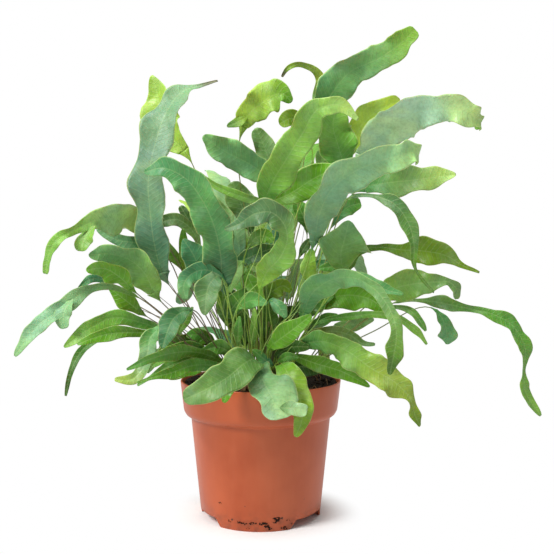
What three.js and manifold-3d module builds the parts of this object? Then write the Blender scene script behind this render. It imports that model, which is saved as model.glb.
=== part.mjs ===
// Potted blue-leaved fern: a footed plastic pot, soil, a knobbly rhizome and the fronds that rise from it.
// Millimetres, +Z up. The origin is the middle of the pot's underside, and the front of the plant faces -Y.
import * as THREE from 'three';
import { mergeVertices } from 'three/addons/utils/BufferGeometryUtils.js';
import Module from 'manifold-3d';

const wasm = await Module();
wasm.setup();

// Pot
const SIDES = 40;
const RIM_RADIUS = 60;
const RIM_FOOT_RADIUS = 57.6;
const STEP_RADIUS = 52.2;
const BASE_RADIUS = 44.6;
const POT_HEIGHT = 101;
const RIM_ROUND = 0.5;
const RIM_FOOT_Z = 80;
const STEP_Z = 74.6;
const STEP_FILLET = 1;
const WALL = 1.3;
const FLOOR_Z = 6.2;
const CENTRE_PAD_RADIUS = 16;
const PAD_SLOPE = 2;
const NOTCHES = [85, 205, 325];
const NOTCH_SPAN = 46;
const NOTCH_FLARE = 3;
const NOTCH_REACH = [30, 56];
const NOTCH_STOPS = 8;
const DRAIN_HOLES = 6;
const DRAIN_RADIUS = 4;
const DRAIN_CIRCLE = 30;
const DRAIN_SIDES = 10;

// Soil and rhizome
const GAP = 0.3;
const SOIL_SLOPE_END = 8;
const SOIL_EDGE_Z = 94.5;
const SOIL_TOP_Z = 96;
const CROWN_RADIUS = 27;
const CROWN_LOBES = 6;
const CROWN_LOBE = 3.5;
const CROWN_HEIGHT = 7.5;
const CROWN_KNOB = 0.9;
const CROWN_SPOKES = 24;
const CROWN_RINGS = 5;

// Fronds
const EYE = [12.2, -600, 194];
const STIPE = 1.7;
const HOLE_RADIUS = 1.5;
const HOLE_DEPTH = 16;
const HOLE_SIDES = 5;
const LEAST_WIDTH = 1.2;
const STIPE_STOPS = [0, 1, 1.8];
const KNOT_STEPS = 1.5;
const FRAME_STEPS = 10;
const RIB = 0.55;
const EDGE = 0.35;
const APEX_Z = 73;
const FOOT_Z = 99;
const LOW_FOOT_Z = 97.4;
const CROWN_SHOULDER = 22;
const FOOT_REACH = 23;
const FORK_Z = 108;
const BOW = 0.06;
const WAVE_RATE = 1.3;
const WAVE_HEIGHT = 0.2;
const WAVE_MOST = 2.4;
const SCALLOP = 0.1;
const TURN_AWAY = 0.5;
const TURN_UP = 0.3;
const WIDEN_MOST = 1.35;
const FACING_PULL = 0.06;
const FRONT_FOLD = 0.16;
const BACK_FOLD = -0.14;
const PHASE_STEP = 0.4;

// Colours by frond tone
const TONES = {
  glaucous: 0x6ea57d,
  green: 0x5a9646,
  lime: 0x96b946,
  pale: 0xa5c8aa,
  olive: 0x69871e,
  grey: 0x7d9678,
  dark: 0x3c5f32,
};

// Each frond is written as it stands seen from the front, by an eye EYE before the pot: how far across,
// how high and how wide it shows in the plane of the pot's axis, and then how deep it lies, in the order
// [across, up, depth, width]. The first point is the neck, where the blade starts, and the last the tip.
// The fronds of one entry rise from one foot. A lobe grows out of the entry's blade and has no stipe.
const FRONDS = {
  tall_left: { tone: 'glaucous', foot: [-14.5, -3.5], blades: [
    [[-74, 181, -13, 14], [-79, 199, -21, 21], [-82.5, 224, -27, 24], [-84, 250, -29, 25], [-78.5, 278, -28, 25],
      [-69, 303, -22, 22], [-58, 316, -14, 12], [-46, 320, -9, 3.5], [-32, 324, -6, 1.5]]] },
  lime_behind_tall: { tone: 'lime', foot: [-8.5, 4.5], blades: [
    [[-57, 272, 14, 9], [-73, 289, 19, 27], [-76, 310, 22, 21], [-81, 328, 24, 1.5]]] },
  arch_left: { tone: 'glaucous', blades: [
    [[-29, 174, -38, 16], [-30, 194, -48, 25], [-34, 213, -56, 25], [-43, 234, -64, 25], [-57, 252, -68, 20],
      [-72, 259, -66, 15], [-87, 256, -58, 1.5]]] },
  top_right: { tone: 'green', blades: [
    [[43, 298, 6, 14], [52, 313, 6, 26], [66, 330, 2, 22], [89, 341, -6, 19], [106, 353, -14, 17],
      [115, 362, -18, 6]]] },
  top_hook: { tone: 'lime', blades: [
    [[46, 300, 22, 5], [42, 311, 24, 8], [45, 325, 21, 8], [38, 333, 17, 5], [28, 336, 11, 4],
      [20, 333, 8, 3.5], [16, 327, 6, 1.5]]] },
  lime_cap: { tone: 'lime', blades: [
    [[-13, 290, 10, 7], [-9, 299, 5, 19], [-1, 306, 0, 22], [9, 313, -4, 24], [17, 314, -6, 14],
      [23, 308, -5, 1.5]]],
    lobes: [[[-9, 298, 6, 7], [-16, 294, 5, 8], [-25, 290, 4, 1.5]]] },
  upper_left: { tone: 'green', blades: [
    [[8, 250, -2, 12], [-8, 262, -10, 21], [-26, 271, -18, 20], [-38, 279, -24, 12], [-43, 283, -26, 2]]] },
  grey_pair: { tone: 'grey', blades: [
    [[8, 259, 30, 8], [3.5, 273, 32, 16], [-3.5, 289, 32, 2]],
    [[-8, 216, 16, 9], [-15, 233, 20, 21], [-21, 249, 22, 2]]] },
  light_edge: { tone: 'lime', blades: [
    [[1, 233, -22, 5], [-15, 238, -28, 7], [-34, 246, -33, 5], [-52, 259, -36, 1.5]],
    [[-23, 207, -14, 8], [-29, 223, -16, 15], [-33, 236, -17, 2]]] },
  big_front: { tone: 'green', blades: [
    [[3, 234, -46, 9], [8, 247, -54, 22], [20, 267, -64, 24], [32, 286, -72, 22], [43, 303, -78, 17],
      [58, 306, -82, 11], [73, 295, -82, 1.5]]] },
  lime_peek: { tone: 'lime', blades: [
    [[32, 288, -30, 6], [23, 296, -34, 13], [14, 292, -36, 3]],
    [[19, 250, -14, 4], [21, 262, -15, 10], [27, 276, -15, 1.5]]] },
  veined_back: { tone: 'green', foot: [7.5, -1.2], blades: [
    [[62, 261, -6, 12], [58, 275, -12, 28], [54, 290, -16, 26], [56, 304, -17, 4]],
    [[47, 246, 8, 8], [46, 259, 10, 13], [45, 273, 10, 2]]] },
  lime_right: { tone: 'lime', foot: [9.2, 3.2], blades: [
    [[68, 273, 16, 8], [74, 289, 19, 19], [86, 301, 19, 18], [104, 310, 16, 2]]] },
  pale_right: { tone: 'pale', foot: [10.4, 0.4], blades: [
    [[76, 268, -10, 12], [87, 280, -22, 23], [100, 293, -38, 29], [122, 302, -50, 20], [143, 304, -60, 19],
      [155, 299, -62, 17], [163, 295, -57, 13], [164, 292, -50, 8], [160, 289, -47, 2]]] },
  glaucous_right: { tone: 'glaucous', blades: [
    [[40, 205, -44, 8], [44, 225, -55, 22], [53, 243, -65, 24], [69, 256, -75, 24], [91, 265, -83, 21],
      [107, 269, -87, 18], [114, 271, -85, 17], [118, 268, -79, 9]]] },
  right_spear: { tone: 'lime', blades: [
    [[77, 245, -26, 9], [94, 248, -32, 19], [113, 250, -38, 21], [129, 252, -42, 16], [146, 254.5, -45, 1.5]]] },
  mid_green: { tone: 'green', foot: [4, -8], blades: [
    [[5, 232, -32, 5], [22, 240, -37, 18], [41, 252, -42, 20], [63, 261, -45, 2]]] },
  centre_hood: { tone: 'glaucous', blades: [
    [[0, 171, -64, 5], [5, 182, -73, 18], [15, 193, -81, 20], [20, 206, -86, 12], [17, 218, -90, 17],
      [8, 226, -92, 18], [-4, 225, -90, 17], [-15, 218, -86, 10], [-27, 213, -82, 1.5]]] },
  wide_left: { tone: 'glaucous', foot: [-14.5, 0.8], blades: [
    [[-81, 213, -3, 9], [-96, 221, -14, 19], [-110, 222, -27, 22], [-127, 219, -38, 12], [-142, 211.5, -46, 7],
      [-153.5, 205, -51, 8], [-159, 194, -51, 7], [-161.5, 180, -49, 3]]],
    lobes: [[[-124, 216, -40, 8], [-132, 206, -43, 13], [-134, 197, -45, 6]]] },
  left_broad: { tone: 'green', foot: [-19, -5], blades: [
    [[-80, 166, -22, 11], [-86, 179, -30, 22], [-99, 191, -37, 22], [-114, 195, -42, 15],
      [-129, 194, -44, 1.5]]] },
  left_under: { tone: 'green', foot: [-20, -10], blades: [
    [[-97, 169, -42, 5], [-105, 177, -50, 14], [-117, 184, -55, 14], [-131, 183, -58, 1.5]],
    [[-78, 199, -14, 4], [-93, 203, -14, 10], [-109, 206, -16, 9], [-123, 214, -18, 1.5]]] },
  long_left: { tone: 'glaucous', foot: [-23, -3.5], blades: [
    [[-95, 164, -12, 3], [-111, 170, -20, 5], [-126, 169.5, -28, 6], [-139, 162.5, -36, 12],
      [-152.5, 151.5, -42, 12.5], [-166, 142.5, -46, 12.5], [-176, 131, -48, 10], [-185, 118, -48, 1.5]]],
    lobes: [[[-141, 161, -41, 8], [-148, 150, -44, 13], [-147, 139, -46, 5]]] },
  olive_left: { tone: 'olive', foot: [-19, -1], blades: [
    [[-90, 151, -2, 5], [-100, 159, -5, 13], [-114, 170, -7, 1.5]],
    [[-107, 166, 8, 2.5], [-117, 175, 6, 5], [-128, 176, 2, 6], [-137, 169, -2, 1.5]]] },
  low_left: { tone: 'green', foot: [-24, -8], blades: [
    [[-75, 138, -22, 4], [-92, 144, -29, 10], [-111, 147, -35, 11], [-129, 138.5, -40, 12],
      [-148, 125, -42, 1.5]],
    [[-78, 134, -38, 3], [-98, 136, -46, 8], [-118, 134, -53, 10], [-138, 127, -57, 1.5]]] },
  dangle_left: { tone: 'dark', foot: [-22.5, 1], blades: [
    [[-99, 137, -8, 3], [-119, 133, -14, 5], [-133, 124, -19, 6], [-142, 109, -22, 5], [-147, 88, -24, 1.5]]] },
  curled_left: { tone: 'lime', foot: [-22, -13], blades: [
    [[-75, 139, -50, 5], [-83, 132, -58, 12], [-85, 121, -64, 13], [-88.5, 109, -69, 10], [-97, 100.5, -72, 8],
      [-110, 100.5, -74, 2]]] },
  teal_square: { tone: 'glaucous', foot: [-17, -13.5], blades: [
    [[-54, 153, -60, 4], [-65, 147, -68, 16], [-70, 137, -73, 15], [-74, 124, -76, 2]],
    [[-62, 133, -36, 3], [-57, 144, -40, 7], [-51, 155, -42, 1.5]]] },
  rim_left: { tone: 'green', foot: [-15, -18], blades: [
    [[-30, 114, -38, 4], [-48, 121, -54, 10], [-69, 120, -70, 10], [-88, 114, -80, 6], [-101, 108, -84, 1.5]],
    [[-30, 110, -44, 4], [-51, 111, -60, 10], [-69, 105, -74, 8], [-83, 101.5, -82, 3], [-93, 98, -86, 1.5]]] },
  front_heart: { tone: 'glaucous', foot: [-9, -21.5], blades: [
    [[-5, 116, -58, 11], [-13, 112, -71, 25], [-25, 102, -80, 24], [-38, 94.5, -85, 21], [-58, 85, -83, 3]]] },
  front_centre: { tone: 'glaucous', foot: [0, -24.5], blades: [
    [[-3, 109, -52, 12], [3, 97, -72, 23], [9, 85, -82, 23], [13, 70, -84, 3]]],
    lobes: [[[14, 79, -84, 9], [25, 78.5, -88, 11], [35, 76.5, -89, 5]]] },
  front_right: { tone: 'lime', foot: [9.5, -22], blades: [
    [[16, 112, -52, 8], [23, 99, -67, 21], [30, 84, -73, 17], [31, 70, -75, 13], [26, 57, -75, 1.5]]] },
  young_front: { tone: 'green', foot: [4.5, -20.5], blades: [
    [[7, 125, -56, 7], [20, 135, -62, 16], [38, 149, -66, 2]],
    [[8, 111, -42, 3], [1, 117, -45, 8], [-6, 123, -47, 1.5]],
    [[14, 114, -40, 3], [21, 118, -46, 7], [28, 117, -50, 1.5]]] },
  strap_low_right: { tone: 'glaucous', blades: [
    [[32, 126, -30, 8], [48, 129, -43, 18], [65, 122, -52, 19], [83, 109, -58, 21], [102, 97.5, -62, 21],
      [113, 85, -62, 6], [116, 74, -60, 8], [120, 65, -58, 1.5]]] },
  rim_right: { tone: 'green', blades: [
    [[23, 117, -32, 4], [43, 112, -36, 12], [62, 106, -40, 11], [82, 95, -42, 1.5]]] },
  brown_right: { tone: 'olive', foot: [19, -12.5], blades: [
    [[32, 132, -24, 3], [49, 137, -28, 7], [67, 134, -31, 8], [76, 128, -33, 5], [86, 127, -34, 1.5]]] },
  strap_right: { tone: 'green', blades: [
    [[43, 143, -24, 2.5], [67, 148, -31, 6], [93, 149, -37, 5], [108, 144, -40, 6], [118, 136, -42, 5],
      [125, 127, -42, 1.5]]] },
  hanging_right: { tone: 'glaucous', blades: [
    [[32, 151, -38, 8], [39, 166, -48, 19], [54, 176, -58, 18], [70, 177, -67, 11], [87, 167, -75, 9],
      [98, 151, -80, 9], [102, 134, -84, 10], [100, 119, -85, 13], [97, 104, -84, 1.5]],
    [[67, 180, -44, 3], [82, 174, -50, 10], [94, 168, -54, 7], [107, 165, -57, 1.5]]] },
  arched_right: { tone: 'green', foot: [19.5, -7], blades: [
    [[29, 153, -6, 5], [49, 161, -10, 15], [68, 164, -16, 22], [84, 160, -21, 15], [94, 151, -26, 1.5]]] },
  lobed_right: { tone: 'olive', blades: [
    [[88, 162, -18, 6], [100, 169, -24, 20], [119, 173, -30, 21], [132, 174, -34, 12], [141, 174, -36, 5],
      [147, 168, -36, 8], [147, 161, -34, 2]],
    [[56, 141, 6, 3], [70, 142, 8, 10], [85, 146, 10, 1.5]]] },
  far_spear: { tone: 'olive', blades: [
    [[68, 186, -12, 4], [74, 197, -17, 6], [89, 200, -21, 5], [106, 198, -25, 10], [123, 197, -29, 21],
      [138, 194, -32, 15], [152, 186, -33, 4], [164, 181, -33, 1.5]]] },
  hanging_far: { tone: 'olive', blades: [
    [[69, 238, -44, 3], [86, 238, -50, 4], [99, 233, -56, 11], [111, 217, -61, 12], [115, 200, -64, 7],
      [115, 186, -66, 3], [121, 176, -66, 2.5], [130, 166, -64, 1.5]]] },
  far_ribbon: { tone: 'green', blades: [
    [[103, 159, -8, 2.5], [123, 160, -14, 4], [137, 158, -18, 11], [155, 154, -22, 5], [173, 150, -26, 8],
      [188, 142, -28, 11], [198.5, 125, -28, 10], [198, 106, -26, 3], [199, 92, -24, 9], [211, 73, -22, 1.5]],
    [[99, 155, -12, 3], [111, 153, -18, 5], [118, 147, -21, 6], [124, 137, -22, 1.5]],
    [[132, 152, -4, 3], [137.5, 144, -5, 9], [140, 134, -6, 14], [140, 127, -7, 2]]] },
  right_star: { tone: 'green', foot: [14.5, -6], blades: [
    [[61, 184, -30, 10], [60, 195, -34, 29], [63, 207, -38, 26], [66, 220, -41, 1.5]]] },
  lime_stub: { tone: 'lime', foot: [10.8, -10], blades: [
    [[37, 170, -30, 4], [36, 184, -31, 12], [38, 199, -33, 2]]] },
  small_right: { tone: 'green', foot: [9.5, 6], blades: [
    [[34, 215, 8, 4], [31, 225, 8, 13], [26, 234, 8, 2]],
    [[55, 218, 15, 3], [65, 230, 14, 12], [75, 233, 12, 5]],
    [[64, 181, 14, 3], [52, 186, 13, 9], [41, 188, 12, 3]]] },
  teal_tongue: { tone: 'green', blades: [
    [[-33, 178, -62, 8], [-39, 171, -70, 19], [-41, 162, -75, 16], [-42, 149, -77, 1.5]]] },
  teal_core: { tone: 'glaucous', blades: [
    [[-36, 168, -26, 5], [-45, 183, -32, 19], [-52, 197, -36, 17], [-58, 206, -38, 1.5]],
    [[-52, 178, -8, 4], [-57, 194, -9, 9], [-58, 214, -9, 1.5]]] },
  dark_left: { tone: 'dark', foot: [-10.5, -1.5], blades: [
    [[-45, 198, 3, 3], [-51, 212, 5, 7], [-62, 220.5, 6, 10], [-72, 219.5, 7, 9], [-81, 213, 7, 1.5]],
    [[-57, 182, 4, 3], [-66, 195, 6, 9], [-79, 212, 8, 1.5]],
    [[-48, 208, 8, 3], [-54, 220, 9, 8], [-60, 231, 10, 2]]] },
  core_back: { tone: 'dark', foot: [-6, 6], blades: [
    [[-18, 133, 11, 3], [-21, 151, 13, 12], [-22, 169, 15, 2]],
    [[-5, 166, 18, 3], [-5, 179, 20, 12], [-6, 192, 22, 2]]] },
  core_front: { tone: 'green', foot: [-5.5, -19], blades: [
    [[-17, 126, -42, 2], [-17, 137, -46, 7], [-16, 148, -48, 1.5]],
    [[-17, 154, -40, 3], [-7, 160, -42, 12], [5, 158, -42, 1.5]]] },
  front_bud: { tone: 'lime', foot: [-2.5, -20.5], blades: [
    [[-6, 126, -44, 2], [-5, 139, -48, 6], [-5, 154, -50, 1.5]]] },
};

// The back of the plant: tufts of three fronds that arch away, high, middling and low.
// Their points are [distance from the axis, height, width], and they face up and outwards.
const BACK_TUFTS = [
  { azimuth: 52, rise: 0.98, reach: 0.92, tone: 'green' },
  { azimuth: 72, rise: 0.9, reach: 1.05, tone: 'glaucous' },
  { azimuth: 92, rise: 0.74, reach: 0.94, tone: 'lime' },
  { azimuth: 114, rise: 0.87, reach: 1.03, tone: 'glaucous' },
  { azimuth: 132, rise: 0.73, reach: 0.98, tone: 'green' },
];
const BACK_TIERS = [
  { swing: 4, points: [[34, 205, 9], [44, 235, 19], [58, 262, 21], [76, 283, 17], [96, 292, 2]] },
  { swing: -8, points: [[46, 168, 8], [68, 192, 21], [94, 203, 24], [118, 194, 17], [136, 170, 2]] },
  { swing: 9, points: [[42, 126, 7], [66, 138, 19], [92, 137, 22], [114, 120, 15], [128, 92, 2]] },
];
const BACK_FOOT = 18;
const BACK_LEAN = -0.3;
const SEED = 7;

// Draw of numbers from 0 to 1 that is the same each time
function seeded(seed) {
  let state = seed;
  return () => {
    state = (state * 16807) % 2147483647;
    return state / 2147483647;
  };
}

// Mesh and solid helpers
function geometryOf(points, triangles) {
  const geometry = new THREE.BufferGeometry();
  geometry.setAttribute('position', new THREE.Float32BufferAttribute(points.flat(), 3));
  geometry.setIndex(triangles.flat());
  return geometry;
}

function solidOf(geometry) {
  const bare = geometry.clone();
  bare.deleteAttribute('normal');
  bare.deleteAttribute('uv');
  const merged = mergeVertices(bare, 1e-4);
  const vertProperties = new Float32Array(merged.attributes.position.array);
  const triVerts = new Uint32Array(merged.index.array);
  return new wasm.Manifold(new wasm.Mesh({ numProp: 3, vertProperties, triVerts }));
}

function geometryFrom(solid) {
  const mesh = solid.getMesh();
  const geometry = new THREE.BufferGeometry();
  const positions = [];
  for (let i = 0; i < mesh.vertProperties.length; i += mesh.numProp) {
    positions.push(...mesh.vertProperties.slice(i, i + 3));
  }
  geometry.setAttribute('position', new THREE.Float32BufferAttribute(positions, 3));
  geometry.setIndex(new THREE.BufferAttribute(new Uint32Array(mesh.triVerts), 1));
  return geometry;
}

// Pot: turned about Z, so a profile point [radius, z] becomes the lathe's (x, y)
function turned(profile) {
  const points = profile.map(([radius, z]) => new THREE.Vector2(radius, z));
  const lathe = new THREE.LatheGeometry(points, SIDES);
  lathe.rotateX(Math.PI / 2);
  return lathe;
}

function potProfile() {
  const padTop = WALL;
  const floorTop = FLOOR_Z + WALL;
  const innerBase = BASE_RADIUS - WALL;
  const taper = (STEP_RADIUS - BASE_RADIUS) / STEP_Z;
  const floorRadius = innerBase + taper * floorTop;
  return [
    [0, 0],
    [CENTRE_PAD_RADIUS, 0],
    [CENTRE_PAD_RADIUS + PAD_SLOPE, FLOOR_Z],
    [innerBase, FLOOR_Z],
    [innerBase, 0],
    [BASE_RADIUS, 0],
    [STEP_RADIUS, STEP_Z],
    [STEP_RADIUS + 2.6 * STEP_FILLET, STEP_Z + STEP_FILLET],
    [RIM_FOOT_RADIUS - 0.8 * STEP_FILLET, RIM_FOOT_Z - 2 * STEP_FILLET],
    [RIM_FOOT_RADIUS, RIM_FOOT_Z],
    [RIM_RADIUS, POT_HEIGHT - 2 * RIM_ROUND],
    [RIM_RADIUS - RIM_ROUND, POT_HEIGHT],
    [RIM_RADIUS - WALL, POT_HEIGHT],
    [RIM_FOOT_RADIUS - WALL, RIM_FOOT_Z],
    [STEP_RADIUS - WALL, STEP_Z],
    [floorRadius, floorTop],
    [CENTRE_PAD_RADIUS + PAD_SLOPE - WALL, floorTop],
    [CENTRE_PAD_RADIUS - WALL, padTop],
    [0, padTop],
  ];
}

// Wedge that takes a notch with slanted sides out of the foot ring
function notchCutter(azimuth) {
  const half = THREE.MathUtils.degToRad(NOTCH_SPAN / 2);
  const flare = THREE.MathUtils.degToRad(NOTCH_FLARE);
  const middle = THREE.MathUtils.degToRad(azimuth);
  const [inner, outer] = NOTCH_REACH;
  const corner = (radius, angle, z) => [radius * Math.cos(angle), radius * Math.sin(angle), z];
  const points = [];
  for (let i = 0; i <= NOTCH_STOPS; i += 1) {
    const share = (2 * i) / NOTCH_STOPS - 1;
    const low = middle + share * (half + flare);
    const high = middle + share * (half - flare);
    points.push(corner(inner, low, -1), corner(outer, low, -1), corner(outer, high, FLOOR_Z));
    points.push(corner(inner, high, FLOOR_Z));
  }
  const triangles = [[0, 1, 2], [0, 2, 3]];
  for (let i = 0; i < NOTCH_STOPS; i += 1) {
    for (let k = 0; k < 4; k += 1) {
      const a = 4 * i + k;
      const b = 4 * i + ((k + 1) % 4);
      triangles.push([a, a + 4, b], [b, a + 4, b + 4]);
    }
  }
  const last = 4 * NOTCH_STOPS;
  triangles.push([last, last + 2, last + 1], [last, last + 3, last + 2]);
  return outward(geometryOf(points, triangles));
}

// The solid of a closed surface, with its faces turned outwards
function outward(geometry) {
  const solid = solidOf(geometry);
  if (solid.volume() > 0) {
    return solid;
  }
  const index = Array.from(geometry.index.array);
  for (let i = 0; i < index.length; i += 3) {
    [index[i], index[i + 1]] = [index[i + 1], index[i]];
  }
  geometry.setIndex(index);
  return solidOf(geometry);
}

function potSolid() {
  let pot = outward(turned(potProfile()));
  for (const azimuth of NOTCHES) {
    pot = pot.subtract(notchCutter(azimuth));
  }
  for (let i = 0; i < DRAIN_HOLES; i += 1) {
    const angle = (i * 2 * Math.PI) / DRAIN_HOLES;
    const hole = new THREE.CylinderGeometry(DRAIN_RADIUS, DRAIN_RADIUS, 8 * WALL, DRAIN_SIDES);
    hole.rotateX(Math.PI / 2);
    hole.translate(DRAIN_CIRCLE * Math.cos(angle), DRAIN_CIRCLE * Math.sin(angle), FLOOR_Z);
    pot = pot.subtract(outward(hole));
  }
  return pot;
}

function soilSolid() {
  const floorTop = FLOOR_Z + WALL + GAP;
  const taper = (STEP_RADIUS - BASE_RADIUS) / STEP_Z;
  const inner = WALL + GAP;
  const edgeTaper = (RIM_RADIUS - RIM_FOOT_RADIUS) / (POT_HEIGHT - RIM_FOOT_Z);
  const edge = RIM_FOOT_RADIUS - inner + edgeTaper * (SOIL_EDGE_Z - RIM_FOOT_Z);
  return outward(turned([
    [0, floorTop],
    [BASE_RADIUS - inner + taper * floorTop, floorTop],
    [STEP_RADIUS - inner, STEP_Z - GAP],
    [RIM_FOOT_RADIUS - inner, RIM_FOOT_Z],
    [edge, SOIL_EDGE_Z],
    [CROWN_RADIUS + SOIL_SLOPE_END, SOIL_TOP_Z],
    [0, SOIL_TOP_Z],
  ]));
}

// Rhizome: a low knobbly crown with rounded lobes that creep outwards
function crownSolid() {
  const points = [[0, 0, SOIL_TOP_Z + GAP]];
  const reach = (angle) => CROWN_RADIUS + CROWN_LOBE * Math.sin(CROWN_LOBES * angle + 0.6);
  const height = (share, angle) => {
    const knob = CROWN_KNOB * Math.sin(9 * share + 2 * angle) * Math.cos(5 * angle + 6 * share);
    return CROWN_HEIGHT * (1 - share ** 4) * (1 - 0.12 * share) + knob * (1 - share);
  };
  const triangles = [];
  for (let spoke = 0; spoke < CROWN_SPOKES; spoke += 1) {
    const angle = (spoke * 2 * Math.PI) / CROWN_SPOKES;
    for (let ring = 1; ring <= CROWN_RINGS; ring += 1) {
      const share = ring / CROWN_RINGS;
      const radius = reach(angle) * share ** 0.8;
      const z = SOIL_TOP_Z + GAP + height(share, angle);
      const top = ring < CROWN_RINGS ? z : SOIL_TOP_Z + GAP;
      points.push([radius * Math.cos(angle), radius * Math.sin(angle), top]);
    }
  }
  const at = (spoke, ring) => 1 + (spoke % CROWN_SPOKES) * CROWN_RINGS + ring;
  const peak = points.length;
  points.push([0, 0, SOIL_TOP_Z + GAP + CROWN_HEIGHT]);
  for (let spoke = 0; spoke < CROWN_SPOKES; spoke += 1) {
    triangles.push([peak, at(spoke, 0), at(spoke + 1, 0)]);
    for (let ring = 0; ring < CROWN_RINGS - 1; ring += 1) {
      triangles.push([at(spoke, ring), at(spoke, ring + 1), at(spoke + 1, ring + 1)]);
      triangles.push([at(spoke, ring), at(spoke + 1, ring + 1), at(spoke + 1, ring)]);
    }
    triangles.push([0, at(spoke + 1, CROWN_RINGS - 1), at(spoke, CROWN_RINGS - 1)]);
  }
  return outward(geometryOf(points, triangles));
}

// Frond geometry
function onSightLine([across, up, depth, width]) {
  const share = (EYE[1] - depth) / EYE[1];
  return [EYE[0] + (across - EYE[0]) * share, depth, EYE[2] + (up - EYE[2]) * share, width * share];
}

// Smooth curve through knots of any number of values, at parameter t counted in knots. The slope at a knot
// leans to the shorter side's, so that a long stipe doesn't swing the short reaches of the blade about.
function throughKnots(knots, t) {
  const last = knots.length - 1;
  const i = Math.min(Math.floor(t), last - 1);
  const u = t - i;
  const span = (k) => Math.hypot(...[0, 1, 2].map((j) => knots[k + 1][j] - knots[k][j]));
  const rise = (k, j) => (knots[k + 1][j] - knots[k][j]) / span(k);
  const slope = (k, j) => {
    if (k === 0 || k === last) {
      return rise(Math.min(k, last - 1), j);
    }
    return (rise(k - 1, j) * span(k) + rise(k, j) * span(k - 1)) / (span(k - 1) + span(k));
  };
  const whole = span(i);
  const stay = (1 + 2 * u) * (1 - u) ** 2;
  const leave = u * (1 - u) ** 2 * whole;
  const arrive = u * u * (u - 1) * whole;
  return knots[i].map((value, j) => {
    const slopes = leave * slope(i, j) + arrive * slope(i + 1, j);
    return stay * value + (1 - stay) * knots[i + 1][j] + slopes;
  });
}

// The foot stands on the line from a point below the crown to the neck, so that the stipes fan out
function footOf(neck, given) {
  if (given) {
    return [...given, Math.hypot(...given) > CROWN_SHOULDER ? LOW_FOOT_Z : FOOT_Z, STIPE];
  }
  const share = (FOOT_Z - APEX_Z) / (neck[2] - APEX_Z);
  const reach = Math.hypot(neck[0], neck[1]) * share;
  const limit = Math.min(1, FOOT_REACH / reach);
  return [neck[0] * share * limit, neck[1] * share * limit, FOOT_Z, STIPE];
}

function between(a, b, share) {
  return a.map((value, k) => value + (b[k] - value) * share);
}

function stipeKnots(foot, neck) {
  const middle = between(foot, neck, 0.5);
  middle[2] += BOW * Math.hypot(neck[0] - foot[0], neck[1] - foot[1]);
  middle[3] = STIPE;
  return [foot, middle];
}

// Places along a frond, each with its direction, facing and true width
function frames(knots, neckIndex, facing, widthsShow) {
  const total = (knots.length - 1) * FRAME_STEPS;
  const places = [];
  for (let i = 0; i <= total; i += 1) {
    const [x, y, z, width] = throughKnots(knots, i / FRAME_STEPS);
    places.push({ point: new THREE.Vector3(x, y, z), width, t: i / FRAME_STEPS });
  }
  places.forEach((place, i) => {
    const before = places[Math.max(i - 1, 0)].point;
    const after = places[Math.min(i + 1, total)].point;
    place.along = after.clone().sub(before).normalize();
  });
  const start = neckIndex * FRAME_STEPS;
  const square = (normal, along) => normal.clone().addScaledVector(along, -normal.dot(along)).normalize();
  places[start].normal = square(facing, places[start].along);
  for (let i = start + 1; i <= total; i += 1) {
    const drawn = places[i - 1].normal.clone().addScaledVector(facing, FACING_PULL);
    places[i].normal = square(drawn, places[i].along);
  }
  for (let i = start - 1; i >= 0; i -= 1) {
    places[i].normal = square(places[i + 1].normal, places[i].along);
  }
  places.forEach((place) => {
    place.side = place.along.clone().cross(place.normal);
    if (widthsShow) {
      const seen = Math.abs(place.normal.y);
      const lengthwise = Math.sqrt(1 - place.along.y ** 2);
      place.width *= Math.min(WIDEN_MOST, lengthwise / Math.max(seen, 0.01));
    }
  });
  return places;
}

// Six corners of a frond's section: upper left, middle and right, then lower right, middle and left
function section(place, isStipe, look) {
  const half = isStipe ? STIPE / 2 : Math.max(place.width, LEAST_WIDTH) / 2;
  const rib = isStipe ? STIPE / 2 : RIB;
  const edge = isStipe ? STIPE / 4 : EDGE;
  const wave = (phase) => (isStipe ? 0 : Math.sin(Math.PI * (WAVE_RATE * place.t + phase)));
  const lift = isStipe ? 0 : Math.min(WAVE_MOST, WAVE_HEIGHT * half);
  const fold = isStipe ? 0 : look.fold * half;
  const left = half * (1 + SCALLOP * wave(look.phase));
  const right = half * (1 + SCALLOP * wave(look.phase + 0.7));
  const leftLift = fold + lift * wave(look.phase + 0.3);
  const rightLift = fold + lift * wave(look.phase + 1.4);
  const corner = (across, up) => {
    const p = place.point.clone().addScaledVector(place.side, across).addScaledVector(place.normal, up);
    return [p.x, p.y, p.z];
  };
  return [
    corner(-left, leftLift + edge), corner(0, rib), corner(right, rightLift + edge),
    corner(right, rightLift - edge), corner(0, -rib), corner(-left, leftLift - edge),
  ];
}

// Closed skin over a row of six-cornered sections, with both faces split along the same diagonals
function skin(sections) {
  const triangles = [[0, 2, 1], [0, 3, 2], [0, 4, 3], [0, 5, 4]];
  for (let i = 0; i < sections.length - 1; i += 1) {
    const a = 6 * i;
    const b = a + 6;
    triangles.push([a, a + 1, b + 1], [a, b + 1, b], [a + 1, a + 2, b + 2], [a + 1, b + 2, b + 1]);
    triangles.push([a + 2, a + 3, b + 3], [a + 2, b + 3, b + 2]);
    triangles.push([a + 3, a + 4, b + 3], [a + 4, b + 4, b + 3], [a + 4, a + 5, b + 4], [a + 5, b + 5, b + 4]);
    triangles.push([a + 5, a, b], [a + 5, b, b + 5]);
  }
  const end = 6 * (sections.length - 1);
  triangles.push([end, end + 1, end + 2], [end, end + 2, end + 3], [end, end + 3, end + 4]);
  triangles.push([end, end + 4, end + 5]);
  return outward(geometryOf(sections.flat(), triangles));
}

function facingOf(knots) {
  const middle = knots[Math.floor(knots.length / 2)];
  const away = THREE.MathUtils.clamp(middle[0] / 100, -1, 1) * TURN_AWAY;
  return new THREE.Vector3(away, -1, TURN_UP).normalize();
}

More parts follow.
